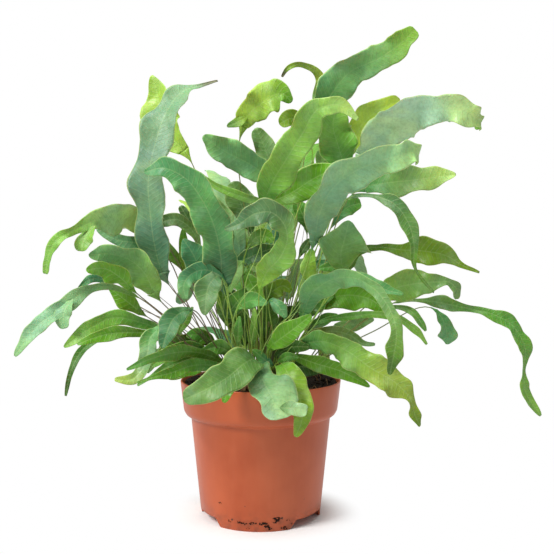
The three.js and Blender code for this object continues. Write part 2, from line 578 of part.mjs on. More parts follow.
function bladeSolid(start, knots, facing, look) {
  const all = [...start, ...knots];
  const neckIndex = start.length;
  const places = frames(all, neckIndex, facing, look.widthsShow);
  const sections = [];
  for (const stop of neckIndex > 0 ? STIPE_STOPS : []) {
    sections.push(section(places[Math.round(stop * FRAME_STEPS)], true, look));
  }
  const steps = Math.round((knots.length - 1) * KNOT_STEPS);
  for (let i = 0; i <= steps; i += 1) {
    const t = neckIndex + (i * (knots.length - 1)) / steps;
    sections.push(section(places[Math.round(t * FRAME_STEPS)], false, look));
  }
  return skin(sections);
}

// The hole that a stipe stands in, a little wider than the stipe
function holeSolid(foot, neck) {
  const up = new THREE.Vector3(neck[0] - foot[0], neck[1] - foot[1], neck[2] - foot[2]).normalize();
  const base = new THREE.Vector3(...foot).addScaledVector(up, -GAP);
  const hole = new THREE.CylinderGeometry(HOLE_RADIUS, HOLE_RADIUS, HOLE_DEPTH, HOLE_SIDES);
  hole.translate(0, HOLE_DEPTH / 2, 0);
  hole.applyQuaternion(new THREE.Quaternion().setFromUnitVectors(new THREE.Vector3(0, 1, 0), up));
  hole.translate(base.x, base.y, base.z);
  return outward(hole);
}

// One node: the fronds that rise from a foot, joined
function tuft(blades, lobes, facings, look) {
  const foot = footOf(blades[0][0], look.foot);
  const first = stipeKnots(foot, blades[0][0]);
  const forkShare = (FORK_Z - foot[2]) / (first[1][2] - foot[2]);
  const fork = between(foot, first[1], forkShare);
  let solid = null;
  blades.forEach((knots, i) => {
    const start = i === 0 ? first : stipeKnots(fork, knots[0]);
    const blade = bladeSolid(start, knots, facings[i], { ...look, phase: look.phase + i * PHASE_STEP });
    solid = solid ? solid.add(blade) : blade;
  });
  for (const knots of lobes) {
    solid = solid.add(bladeSolid([], knots, facings[0], look));
  }
  return { solid, hole: holeSolid(foot, first[1]) };
}

function frontTuft({ blades, lobes = [], foot }, phase) {
  const placed = blades.map((points) => points.map(onSightLine));
  const grown = lobes.map((points) => points.map(onSightLine));
  const look = { phase, fold: FRONT_FOLD, widthsShow: true, foot };
  return tuft(placed, grown, placed.map(facingOf), look);
}

function backTuft({ azimuth, rise, reach }, phase) {
  const blades = [];
  const facings = [];
  for (const { swing, points } of BACK_TIERS) {
    const angle = THREE.MathUtils.degToRad(azimuth + swing);
    const place = ([radius, z, width]) => [
      radius * reach * Math.cos(angle), radius * reach * Math.sin(angle), FOOT_Z + (z - FOOT_Z) * rise, width,
    ];
    blades.push(points.map(place));
    facings.push(new THREE.Vector3(BACK_LEAN * Math.cos(angle), BACK_LEAN * Math.sin(angle), 1).normalize());
  }
  const angle = THREE.MathUtils.degToRad(azimuth);
  const foot = [BACK_FOOT * Math.cos(angle), BACK_FOOT * Math.sin(angle)];
  return tuft(blades, [], facings, { phase, fold: BACK_FOLD, widthsShow: false, foot });
}

// Materials and the plant
function material(color, roughness) {
  return new THREE.MeshStandardMaterial({ color, roughness, metalness: 0 });
}

function named(name, solid, look) {
  const mesh = new THREE.Mesh(geometryFrom(solid), look);
  mesh.name = name;
  return mesh;
}

const plant = new THREE.Group();
const draw = seeded(SEED);
let crown = crownSolid();

for (const [name, frond] of Object.entries(FRONDS)) {
  const { solid, hole } = frontTuft(frond, draw() * 2);
  crown = crown.subtract(hole);
  plant.add(named(`frond_${name}`, solid, material(TONES[frond.tone], 0.6)));
}
BACK_TUFTS.forEach((back, i) => {
  const { solid, hole } = backTuft(back, draw() * 2);
  crown = crown.subtract(hole);
  plant.add(named(`frond_back_${i + 1}`, solid, material(TONES[back.tone], 0.6)));
});
plant.add(named('rhizome', crown, material(0x8a6a3a, 0.95)));
plant.add(named('soil', soilSolid(), material(0x2b211a, 0.98)));
plant.add(named('pot', potSolid(), material(0xbe6246, 0.5)));

export default plant;
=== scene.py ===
"""Potted blue-leaved fern: fine fronds, pot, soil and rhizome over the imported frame."""
import math

import bpy
import numpy as np
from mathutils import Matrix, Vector, noise


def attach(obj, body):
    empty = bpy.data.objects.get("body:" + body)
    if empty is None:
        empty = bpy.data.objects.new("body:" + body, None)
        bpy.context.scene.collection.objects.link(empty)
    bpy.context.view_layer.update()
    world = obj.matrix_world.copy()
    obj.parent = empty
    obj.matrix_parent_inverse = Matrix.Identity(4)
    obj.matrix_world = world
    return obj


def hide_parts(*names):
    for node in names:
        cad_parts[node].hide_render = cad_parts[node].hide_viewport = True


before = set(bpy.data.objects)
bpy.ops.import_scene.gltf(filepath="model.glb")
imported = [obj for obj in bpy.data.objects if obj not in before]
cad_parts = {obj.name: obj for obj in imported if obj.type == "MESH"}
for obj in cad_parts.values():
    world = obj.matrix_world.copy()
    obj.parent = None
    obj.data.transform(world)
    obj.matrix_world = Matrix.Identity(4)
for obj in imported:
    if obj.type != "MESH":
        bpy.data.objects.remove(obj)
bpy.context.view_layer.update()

MM = 0.001
UP = np.array([0, 0, 1])

# Camera and fronds, in millimetres, as in the frame's own source
EYE = (12.2, -600.0, 194.0)
PITCH = math.radians(-1.56)
FOCAL_PIXELS = 800
PICTURE = 554
STIPE = 1.7
APEX_Z = 73
FOOT_Z = 99
LOW_FOOT_Z = 97.4
CROWN_SHOULDER = 22
FOOT_REACH = 23
FORK_Z = 108
BOW = 0.06
WAVE_RATE = 1.3
WAVE_HEIGHT = 0.2
WAVE_MOST = 2.4
WAVE_SHIFTS = {-1: (0, 0.3), 1: (0.7, 1.4)}
SCALLOP = 0.1
TURN_AWAY = 0.5
TURN_UP = 0.3
WIDEN_MOST = 1.35
FACING_PULL = 0.06
LEAST_SEEN = 0.01
FRAME_STEPS = 10
FRONT_FOLD = 0.16
BACK_FOLD = -0.14
PHASE_STEP = 0.4
SEED = 7

# Finer form of the blades
STATIONS_PER_KNOT = 12
COLUMNS = 15
LEAST_WIDTH = 0.9
MID_HALF = 0.26
EDGE_HALF = 0.12
SWELL = 1.35
CRINKLE = 0.5
CRINKLE_SHAPE = 0.7
CRINKLE_FADE = 8
CRINKLE_LENGTHS = (19, 13, 9, 7)
WAVES_SHARE = 0.6
RUFFLE = 0.13
RUFFLE_SHAPE = 2.6
NIBBLE = 0.07
MARGIN_LENGTHS = (37, 23, 13, 8)
CALM_REACH = 9
POINT_SHAPE = 1.4
GROOVE = 0.16
RIB = 0.5
RIB_REACH = 0.8
ROUND_TIP = 0.85
POINTED_TIP = 0.35
LOBE_ROOT = 8
LOBE_SINK = 0.8
LOBE_SHADE = -0.12
SHADE_SPREAD = 0.2
BACK_WAVY = 1.1

# Stalks, their wings, shoots and roots. The neck is the third knot of a frond.
NECK = 2
STIPE_ROOT = 0.52
STIPE_NECK = 0.36
STIPE_POINT = 0.12
STIPE_OVERLAP = 0.35
STIPE_STATIONS = 26
STIPE_SIDES = 8
WING_STATIONS = 9
WING_MOST = 4.5
WING_REACH = 1.1
WING_LEAST = 0.9
WING_ROOT = 0.8
WING_SHAPE = 1.8
STALK_LOW = 0.22
STALK_HIGH = 0.7
STEM = 0.44
SHOOTS = 46
SHOOT_RADIUS = 0.55
SHOOT_CIRCLE = 19
SHOOT_HEIGHTS = (14, 62)
SHOOT_LEANS = (0.1, 0.6)
SHOOT_CURLS = (1.4, 2.5)
SHOOT_STATIONS = 9
CURL_STATIONS = 11
CURL_STEP = 0.5
CURL_SHRINK = 0.06
SUNK = 1
ROOT_RADIUS = 0.34
STRAND_SIDES = 5
STRAND_TAPER = 0.4
STRAND_ASIDE = (0.3, 0.2, 0.93)

# Pot, soil and rhizome, as in the frame
RIM_RADIUS = 60
RIM_FOOT_RADIUS = 57.6
STEP_RADIUS = 52.2
BASE_RADIUS = 44.6
POT_HEIGHT = 101
RIM_FOOT_Z = 80
STEP_Z = 74.6
WALL = 1.3
FLOOR_Z = 6.2
PAD_RADIUS = 16
PAD_SLOPE = 2
NOTCHES = (85, 205, 325)
NOTCH_HALF = 23
NOTCH_FLARE = 3
DRAIN_HOLES = 6
DRAIN_RADIUS = 4
DRAIN_CIRCLE = 30
GAP = 0.3
SOIL_EDGE_Z = 94.5
SOIL_TOP_Z = 96
CROWN_RADIUS = 27
CROWN_LOBES = 6
CROWN_LOBE = 3.5
CROWN_HEIGHT = 7.5
CROWN_TURN = 0.6
TAPER = (STEP_RADIUS - BASE_RADIUS) / STEP_Z
RIM_TAPER = (RIM_RADIUS - RIM_FOOT_RADIUS) / (POT_HEIGHT - RIM_FOOT_Z)

# Finer form of the pot, the soil and the rhizome
POT_SEGMENTS = 192
POT_SHARP = math.radians(38)
LEAST_ANGLE = 0.5
LIP_ROUND = 0.6
EDGE_ROUND = 0.4
DRAIN_SIDES = 28
DRAIN_TURN = 0.37
SOIL_SPOKES = 120
SOIL_RINGS = 40
SOIL_HEAP = 3.2
SOIL_BANK = 2.2
SLOPE_END = 58
SLOPE_WIDE = 22
BANK_START = 50
BANK_WIDE = 6
HEAP_START = 32
HEAP_WIDE = 16
HEAP_SIDE = 0.3
HEAP_FRONT = -12
HEAP_BLEND = 30
LUMPS_END = 56.5
LUMPS_FADE = 4
SOIL_LUMPS = ((1.6, 3, 0.13), (0.9, 9, 0.34))
CRUMB_CLEAR = 1.8
CRUMBS = 420
CRUMB_LEAST = 0.5
CRUMB_MORE = 1.3
LUMP_CORNERS = (0.8, 1.15)
LUMP_WIDTHS = (0.7, 1.3)
LUMP_HEIGHTS = (0.5, 0.9)
SPILL_CRUMBS = 6
SPILL_WIDE = 2.6
SPILL_HIGH = 1.5
SPILL_LOWEST = 0.9
SPILL_SIZES = (0.3, 0.8)
CROWN_SPOKES = 96
CROWN_RINGS = 20
CROWN_SHAPE = 0.8
CROWN_FALL = 0.12
CROWN_KNOB = 0.9
CROWN_LUMP = 0.8
SCALES = 520
SCALES_END = 0.97
SCALE_THICK = 0.22
SCALE_SUNK = 0.4
SCALE_TURN = 1.6
SCALE_LENGTHS = (2, 4.4)
SCALE_WIDTHS = (0.35, 0.6)
SCALE_RISES = (0.35, 0.85)

# Leaf material: lengths in millimetres along the leaf's own lines, and linear factors on its tint
VEIN_SPACING = 3.6
VEIN_SLANT = 0.6
VEIN_DRIFT = 2.4
NET_SCALE = 0.5
FAR_FROM_RIB = (9.0, 0.0, 0.0)
WING_FROM_RIB = (3.0, 0.0, 0.0)
LEAF_COOL = (0.8, 0.92, 0.9, 1.0)
LEAF_WARM = (1.08, 1.08, 0.72, 1.0)
LEAF_SHADED = (0.5, 0.58, 0.5, 1.0)
LEAF_UNDERSIDE = (1.1, 1.1, 0.8, 1.0)
GLOSS_GAIN = 1.12
GLOSS_HAZE = 0.012
DARKEST = 0.006

# Light
WORLD_LIGHT = 0.33
KEY_WATTS = 35
TOP_WATTS = 18
LIGHT_TARGET = Vector((0, 0, 0.2))
FLOOR_RADIUS = 6
GLOW_FROM_TO = (0.044, 0.078)

# Colours, as sRGB from 0 to 255. The stalks' two are those low down and in the middle. Shoots, crumbs and
# scales are coloured between their two.
SOIL_TINT = (44, 33, 26)
SPILL_TINT = (50, 32, 24)
ROOT_TINT = (176, 138, 96)
CROWN_TINT = (104, 76, 42)
SHOOT_TINTS = np.array([(96, 100, 44), (126, 130, 60)])
CRUMB_TINTS = np.array([(36, 27, 21), (80, 59, 43)])
SCALE_TINTS = np.array([(110, 76, 36), (170, 122, 64)])
STALKS = {"front": ((84, 84, 40), (146, 176, 84)), "middle": ((88, 78, 46), (120, 128, 76)),
          "side": ((86, 66, 50), (116, 98, 80))}
TINTS = {
    "glaucous": (114, 158, 118), "frost": (134, 180, 136), "teal": (74, 134, 90), "jade": (92, 152, 86),
    "aqua": (116, 168, 112), "green": (88, 146, 58), "leaf": (94, 148, 32), "meadow": (122, 168, 74),
    "spring": (130, 176, 66), "lime": (148, 180, 70), "pale": (172, 206, 176), "mint": (158, 200, 138),
    "fold": (168, 206, 160), "olive": (112, 144, 28), "straw": (146, 168, 70), "sage": (112, 150, 86),
    "deep": (62, 104, 70), "dark": (58, 94, 26), "moss": (82, 122, 26), "brown": (106, 116, 50),
    "dry": (72, 62, 34), "shade": (94, 134, 66), "hoar": (100, 140, 92), "husk": (134, 168, 54),
    "cream": (172, 202, 110), "dusk": (96, 140, 108), "ice": (168, 204, 168), "grass": (98, 136, 82),
    "pine": (66, 114, 72), "sun": (190, 216, 84), "steel": (112, 148, 122), "fog": (84, 122, 80),
}

# The fronds of the front, as in the frame: [across, up, depth, width] from neck to tip, in millimetres.
# Each blade's two or more tints run from its neck to its tip. What a frond doesn't say comes from LOOK.
# A lobe is a blade without a stalk, which grows from the first blade's edge.
LOOK = dict(foot=None, wavy=1, dry=0, tip=None, end_tint="dry", points=(), lobes=(), lobe=False,
            fold=FRONT_FOLD, widths_show=True)


def front(slot, tints, *blades, **more):
    return dict(LOOK, slot=slot, tints=tints, blades=blades, **more)


FRONDS = {
    "tall_left": front("glaucous", ["dusk steel glaucous"],
        [[-74, 181, -13, 14], [-79, 199, -21, 21], [-82.5, 224, -27, 24], [-84, 250, -29, 25],
         [-78.5, 278, -28, 25], [-69, 303, -22, 22], [-58, 316, -14, 12], [-46, 320, -9, 3.5],
         [-32, 324, -6, 1.5]], foot=(-14.5, -3.5), dry=13, wavy=0.6),
    "lime_behind_tall": front("lime", ["lime lime"],
        [[-57, 272, 14, 9], [-73, 289, 19, 27], [-76, 310, 22, 21], [-81, 328, 24, 1.5]], foot=(-8.5, 4.5),
         wavy=0.8, tip=0.12),
    "arch_left": front("glaucous", ["deep jade teal"],
        [[-29, 174, -38, 16], [-30, 194, -48, 25], [-34, 213, -56, 25], [-43, 234, -64, 25],
         [-57, 252, -68, 20], [-72, 259, -66, 15], [-87, 256, -58, 1.5]], wavy=0.9),
    "top_right": front("green", ["jade aqua spring"],
        [[43, 298, 6, 14], [52, 313, 6, 26], [66, 330, 2, 22], [89, 341, -6, 19], [106, 353, -14, 17],
         [115, 362, -18, 6]], wavy=1.5),
    "top_hook": front("lime", ["mint straw olive"],
        [[46, 300, 22, 5], [42, 311, 24, 8], [45, 325, 21, 8], [38, 333, 17, 5], [28, 336, 11, 4],
         [20, 333, 8, 3.5], [16, 327, 6, 1.5]], dry=5, wavy=0.7),
    "lime_cap": front("lime", ["lime lime leaf"],
        [[-13, 290, 10, 7], [-9, 299, 5, 19], [-1, 306, 0, 22], [9, 313, -4, 24], [17, 314, -6, 14],
         [23, 308, -5, 1.5]], wavy=1.4,
        lobes=[[[-9, 298, 6, 7], [-16, 294, 5, 8], [-25, 290, 4, 1.5]]]),
    "upper_left": front("green", ["aqua aqua"],
        [[8, 250, -2, 12], [-8, 262, -10, 21], [-26, 271, -18, 20], [-38, 279, -24, 12],
         [-43, 283, -26, 2]]),
    "grey_pair": front("grey", ["sage sage", "dark sage"],
        [[8, 259, 30, 8], [3.5, 273, 32, 16], [-3.5, 289, 32, 2]],
        [[-8, 216, 16, 9], [-15, 233, 20, 21], [-21, 249, 22, 2]]),
    "light_edge": front("lime", ["meadow meadow", "sage sage"],
        [[1, 233, -22, 5], [-15, 238, -28, 7], [-34, 246, -33, 5], [-52, 259, -36, 1.5]],
        [[-23, 207, -14, 8], [-29, 223, -16, 15], [-33, 236, -17, 2]], wavy=0.6),
    "big_front": front("green", ["green meadow meadow cream"],
        [[3, 234, -46, 9], [8, 247, -54, 22], [20, 267, -64, 24], [32, 286, -72, 22], [43, 303, -78, 17],
         [58, 306, -82, 11], [73, 295, -82, 1.5]]),
    "lime_peek": front("lime", ["olive olive", "dark dark"],
        [[32, 288, -30, 6], [23, 296, -34, 13], [14, 292, -36, 3]],
        [[19, 250, -14, 4], [21, 262, -15, 10], [27, 276, -15, 1.5]]),
    "veined_back": front("green", ["green meadow", "sage sage"],
        [[62, 261, -6, 12], [58, 275, -12, 28], [54, 290, -16, 26], [56, 304, -17, 4]],
        [[47, 246, 8, 8], [46, 259, 10, 13], [45, 273, 10, 2]], foot=(7.5, -1.2), wavy=1.3),
    "lime_right": front("lime", ["lime sun"],
        [[68, 273, 16, 8], [74, 289, 19, 19], [86, 301, 19, 18], [104, 310, 16, 2]], foot=(9.2, 3.2)),
    "pale_right": front("pale", ["ice pale cream"],
        [[76, 268, -10, 12], [87, 280, -22, 23], [100, 293, -38, 29], [122, 302, -50, 20],
         [143, 304, -60, 19], [155, 299, -62, 17], [163, 295, -57, 13], [164, 292, -50, 8],
         [160, 289, -47, 2]], foot=(10.4, 0.4), dry=7, end_tint="leaf", wavy=0.8),
    "glaucous_right": front("glaucous", ["glaucous frost mint"],
        [[40, 205, -44, 8], [44, 225, -55, 22], [53, 243, -65, 24], [69, 256, -75, 24], [91, 265, -83, 21],
         [107, 269, -87, 18], [114, 271, -85, 17], [118, 268, -79, 9]], wavy=0.7),
    "right_spear": front("lime", ["jade sage cream"],
        [[77, 245, -26, 9], [94, 248, -32, 19], [113, 250, -38, 21], [129, 252, -42, 16],
         [146, 254.5, -45, 1.5]], wavy=0.8),
    "mid_green": front("green", ["moss leaf"],
        [[5, 232, -32, 5], [22, 240, -37, 18], [41, 252, -42, 20], [63, 261, -45, 2]], foot=(4, -8)),
    "centre_hood": front("glaucous", ["spring meadow fog fog"],
        [[0, 171, -64, 5], [5, 182, -73, 18], [15, 193, -81, 20], [20, 206, -86, 12], [17, 218, -90, 17],
         [8, 226, -92, 18], [-4, 225, -90, 17], [-15, 218, -86, 10], [-27, 213, -82, 1.5]], wavy=1.3),
    "wide_left": front("glaucous", ["cream mint meadow meadow"],
        [[-81, 213, -3, 9], [-96, 221, -14, 19], [-110, 222, -27, 22], [-127, 219, -38, 12],
         [-142, 211.5, -46, 7], [-153.5, 205, -51, 8], [-159, 194, -51, 7], [-161.5, 180, -49, 3]],
         foot=(-14.5, 0.8), wavy=1.4,
        lobes=[[[-124, 216, -40, 8], [-132, 206, -43, 13], [-134, 197, -45, 6]]]),
    "left_broad": front("green", ["meadow aqua"],
        [[-80, 166, -22, 11], [-86, 179, -30, 22], [-99, 191, -37, 22], [-114, 195, -42, 15],
         [-129, 194, -44, 1.5]], foot=(-19, -5)),
    "left_under": front("green", ["leaf leaf", "teal glaucous"],
        [[-97, 169, -42, 5], [-105, 177, -50, 14], [-117, 184, -55, 14], [-131, 183, -58, 1.5]],
        [[-78, 199, -14, 4], [-93, 203, -14, 10], [-109, 206, -16, 9], [-123, 214, -18, 1.5]],
         foot=(-20, -10)),
    "long_left": front("glaucous", ["meadow frost frost"],
        [[-95, 164, -12, 3], [-111, 170, -20, 5], [-126, 169.5, -28, 6], [-139, 162.5, -36, 12],
         [-152.5, 151.5, -42, 12.5], [-166, 142.5, -46, 12.5], [-176, 131, -48, 10], [-185, 118, -48, 1.5]],
         foot=(-23, -3.5), wavy=0.9,
        lobes=[[[-141, 161, -41, 8], [-148, 150, -44, 13], [-147, 139, -46, 5]]]),
    "olive_left": front("olive", ["moss leaf", "teal teal"],
        [[-90, 151, -2, 5], [-100, 159, -5, 13], [-114, 170, -7, 1.5]],
        [[-107, 166, 8, 2.5], [-117, 175, 6, 5], [-128, 176, 2, 6], [-137, 169, -2, 1.5]], foot=(-19, -1)),
    "low_left": front("green", ["green meadow", "moss leaf"],
        [[-75, 138, -22, 4], [-92, 144, -29, 10], [-111, 147, -35, 11], [-129, 138.5, -40, 12],
         [-148, 125, -42, 1.5]],
        [[-78, 134, -38, 3], [-98, 136, -46, 8], [-118, 134, -53, 10], [-138, 127, -57, 1.5]],
         foot=(-24, -8), wavy=0.9),
    "dangle_left": front("dark", ["green dark"],
        [[-99, 137, -8, 3], [-119, 133, -14, 5], [-133, 124, -19, 6], [-142, 109, -22, 5],
         [-147, 88, -24, 1.5]], foot=(-22.5, 1), wavy=0.7),
    "curled_left": front("lime", ["jade grass straw"],
        [[-75, 139, -50, 5], [-83, 132, -58, 12], [-85, 121, -64, 13], [-88.5, 109, -69, 10],
         [-97, 100.5, -72, 8], [-110, 100.5, -74, 2]], foot=(-22, -13)),
    "teal_square": front("glaucous", ["pine pine", "moss moss"],
        [[-54, 153, -60, 4], [-65, 147, -68, 16], [-70, 137, -73, 15], [-74, 124, -76, 2]],
        [[-62, 133, -36, 3], [-57, 144, -40, 7], [-51, 155, -42, 1.5]], foot=(-17, -13.5)),
    "rim_left": front("green", ["moss green", "green leaf"],
        [[-30, 114, -38, 4], [-48, 121, -54, 10], [-69, 120, -70, 10], [-88, 114, -80, 6],
         [-101, 108, -84, 1.5]],
        [[-30, 110, -44, 4], [-51, 111, -60, 10], [-69, 105, -74, 8], [-83, 101.5, -82, 3],
         [-93, 98, -86, 1.5]], foot=(-15, -18)),
    "front_heart": front("glaucous", ["shade shade sage"],
        [[-5, 116, -58, 11], [-13, 112, -71, 25], [-25, 102, -80, 24], [-38, 94.5, -85, 21],
         [-58, 85, -83, 3]], foot=(-9, -21.5), wavy=0.5),
    "front_centre": front("glaucous", ["hoar hoar fold"],
        [[-3, 109, -52, 12], [3, 97, -72, 23], [9, 85, -82, 23], [13, 70, -84, 3]], foot=(0, -24.5), tip=0.9,
         points=[(0.82, -1, 9, 0.5)],
        lobes=[[[14, 79, -84, 9], [25, 78.5, -88, 11], [35, 76.5, -89, 5]]]),
    "front_right": front("lime", ["leaf husk husk"],
        [[16, 112, -52, 8], [23, 99, -67, 21], [30, 84, -73, 17], [31, 70, -75, 13], [26, 57, -75, 1.5]],
         foot=(9.5, -22)),
    "young_front": front("green", ["leaf leaf", "teal green", "green green"],
        [[7, 125, -56, 7], [20, 135, -62, 16], [38, 149, -66, 2]],
        [[8, 111, -42, 3], [1, 117, -45, 8], [-6, 123, -47, 1.5]],
        [[14, 114, -40, 3], [21, 118, -46, 7], [28, 117, -50, 1.5]], foot=(4.5, -20.5)),
    "strap_low_right": front("glaucous", ["jade meadow straw olive"],
        [[32, 126, -30, 8], [48, 129, -43, 18], [65, 122, -52, 19], [83, 109, -58, 21], [102, 97.5, -62, 21],
         [113, 85, -62, 6], [116, 74, -60, 8], [120, 65, -58, 1.5]], wavy=1.7),
    "rim_right": front("green", ["moss leaf"],
        [[23, 117, -32, 4], [43, 112, -36, 12], [62, 106, -40, 11], [82, 95, -42, 1.5]]),
    "brown_right": front("olive", ["brown sage"],
        [[32, 132, -24, 3], [49, 137, -28, 7], [67, 134, -31, 8], [76, 128, -33, 5], [86, 127, -34, 1.5]],
         foot=(19, -12.5)),
    "strap_right": front("green", ["green meadow"],
        [[43, 143, -24, 2.5], [67, 148, -31, 6], [93, 149, -37, 5], [108, 144, -40, 6], [118, 136, -42, 5],
         [125, 127, -42, 1.5]], wavy=0.7),
    "hanging_right": front("glaucous", ["jade aqua sage moss", "jade jade"],
        [[32, 151, -38, 8], [39, 166, -48, 19], [54, 176, -58, 18], [70, 177, -67, 11], [87, 167, -75, 9],
         [98, 151, -80, 9], [102, 134, -84, 10], [100, 119, -85, 13], [97, 104, -84, 1.5]],
        [[67, 180, -44, 3], [82, 174, -50, 10], [94, 168, -54, 7], [107, 165, -57, 1.5]]),
    "arched_right": front("green", ["leaf leaf"],
        [[29, 153, -6, 5], [49, 161, -10, 15], [68, 164, -16, 22], [84, 160, -21, 15], [94, 151, -26, 1.5]],
         foot=(19.5, -7)),
    "lobed_right": front("olive", ["meadow sage", "sage sage"],
        [[88, 162, -18, 6], [100, 169, -24, 20], [119, 173, -30, 21], [132, 174, -34, 12],
         [141, 174, -36, 5], [147, 168, -36, 8], [147, 161, -34, 2]],
        [[56, 141, 6, 3], [70, 142, 8, 10], [85, 146, 10, 1.5]], wavy=1.5),
    "far_spear": front("olive", ["moss olive"],
        [[68, 186, -12, 4], [74, 197, -17, 6], [89, 200, -21, 5], [106, 198, -25, 10], [123, 197, -29, 21],
         [138, 194, -32, 15], [152, 186, -33, 4], [164, 181, -33, 1.5]]),
    "hanging_far": front("olive", ["fog moss"],
        [[69, 238, -44, 3], [86, 238, -50, 4], [99, 233, -56, 11], [111, 217, -61, 12], [115, 200, -64, 7],
         [115, 186, -66, 3], [121, 176, -66, 2.5], [130, 166, -64, 1.5]]),
    "far_ribbon": front("green", ["sage green meadow", "sage green", "jade aqua"],
        [[103, 159, -8, 2.5], [123, 160, -14, 4], [137, 158, -18, 11], [155, 154, -22, 5],
         [173, 150, -26, 8], [188, 142, -28, 11], [198.5, 125, -28, 10], [198, 106, -26, 3],
         [199, 92, -24, 9], [211, 73, -22, 1.5]],
        [[99, 155, -12, 3], [111, 153, -18, 5], [118, 147, -21, 6], [124, 137, -22, 1.5]],
        [[132, 152, -4, 3], [137.5, 144, -5, 9], [140, 134, -6, 14], [140, 127, -7, 2]]),
    "right_star": front("green", ["meadow aqua"],
        [[61, 184, -30, 10], [60, 195, -34, 29], [63, 207, -38, 26], [66, 220, -41, 1.5]], foot=(14.5, -6),
         points=[(0.42, 1, 7, 0.3), (0.6, -1, 6, 0.25)]),
    "lime_stub": front("lime", ["lime spring"],
        [[37, 170, -30, 4], [36, 184, -31, 12], [38, 199, -33, 2]], foot=(10.8, -10)),
    "small_right": front("green", ["dark green", "teal green", "dark teal"],
        [[34, 215, 8, 4], [31, 225, 8, 13], [26, 234, 8, 2]],
        [[55, 218, 15, 3], [65, 230, 14, 12], [75, 233, 12, 5]],
        [[64, 181, 14, 3], [52, 186, 13, 9], [41, 188, 12, 3]], foot=(9.5, 6)),
    "teal_tongue": front("green", ["fog grass"],
        [[-33, 178, -62, 8], [-39, 171, -70, 19], [-41, 162, -75, 16], [-42, 149, -77, 1.5]]),
    "teal_core": front("glaucous", ["teal teal", "olive leaf"],
        [[-36, 168, -26, 5], [-45, 183, -32, 19], [-52, 197, -36, 17], [-58, 206, -38, 1.5]],
        [[-52, 178, -8, 4], [-57, 194, -9, 9], [-58, 214, -9, 1.5]]),
    "dark_left": front("dark", ["sage dark", "moss leaf", "dark dark"],
        [[-45, 198, 3, 3], [-51, 212, 5, 7], [-62, 220.5, 6, 10], [-72, 219.5, 7, 9], [-81, 213, 7, 1.5]],
        [[-57, 182, 4, 3], [-66, 195, 6, 9], [-79, 212, 8, 1.5]],
        [[-48, 208, 8, 3], [-54, 220, 9, 8], [-60, 231, 10, 2]], foot=(-10.5, -1.5)),
    "core_back": front("dark", ["moss dark", "moss green"],
        [[-18, 133, 11, 3], [-21, 151, 13, 12], [-22, 169, 15, 2]],
        [[-5, 166, 18, 3], [-5, 179, 20, 12], [-6, 192, 22, 2]], foot=(-6, 6)),
    "core_front": front("green", ["moss green", "green jade"],
        [[-17, 126, -42, 2], [-17, 137, -46, 7], [-16, 148, -48, 1.5]],
        [[-17, 154, -40, 3], [-7, 160, -42, 12], [5, 158, -42, 1.5]], foot=(-5.5, -19)),
    "front_bud": front("lime", ["moss spring"],
        [[-6, 126, -44, 2], [-5, 139, -48, 6], [-5, 154, -50, 1.5]], foot=(-2.5, -20.5)),
}

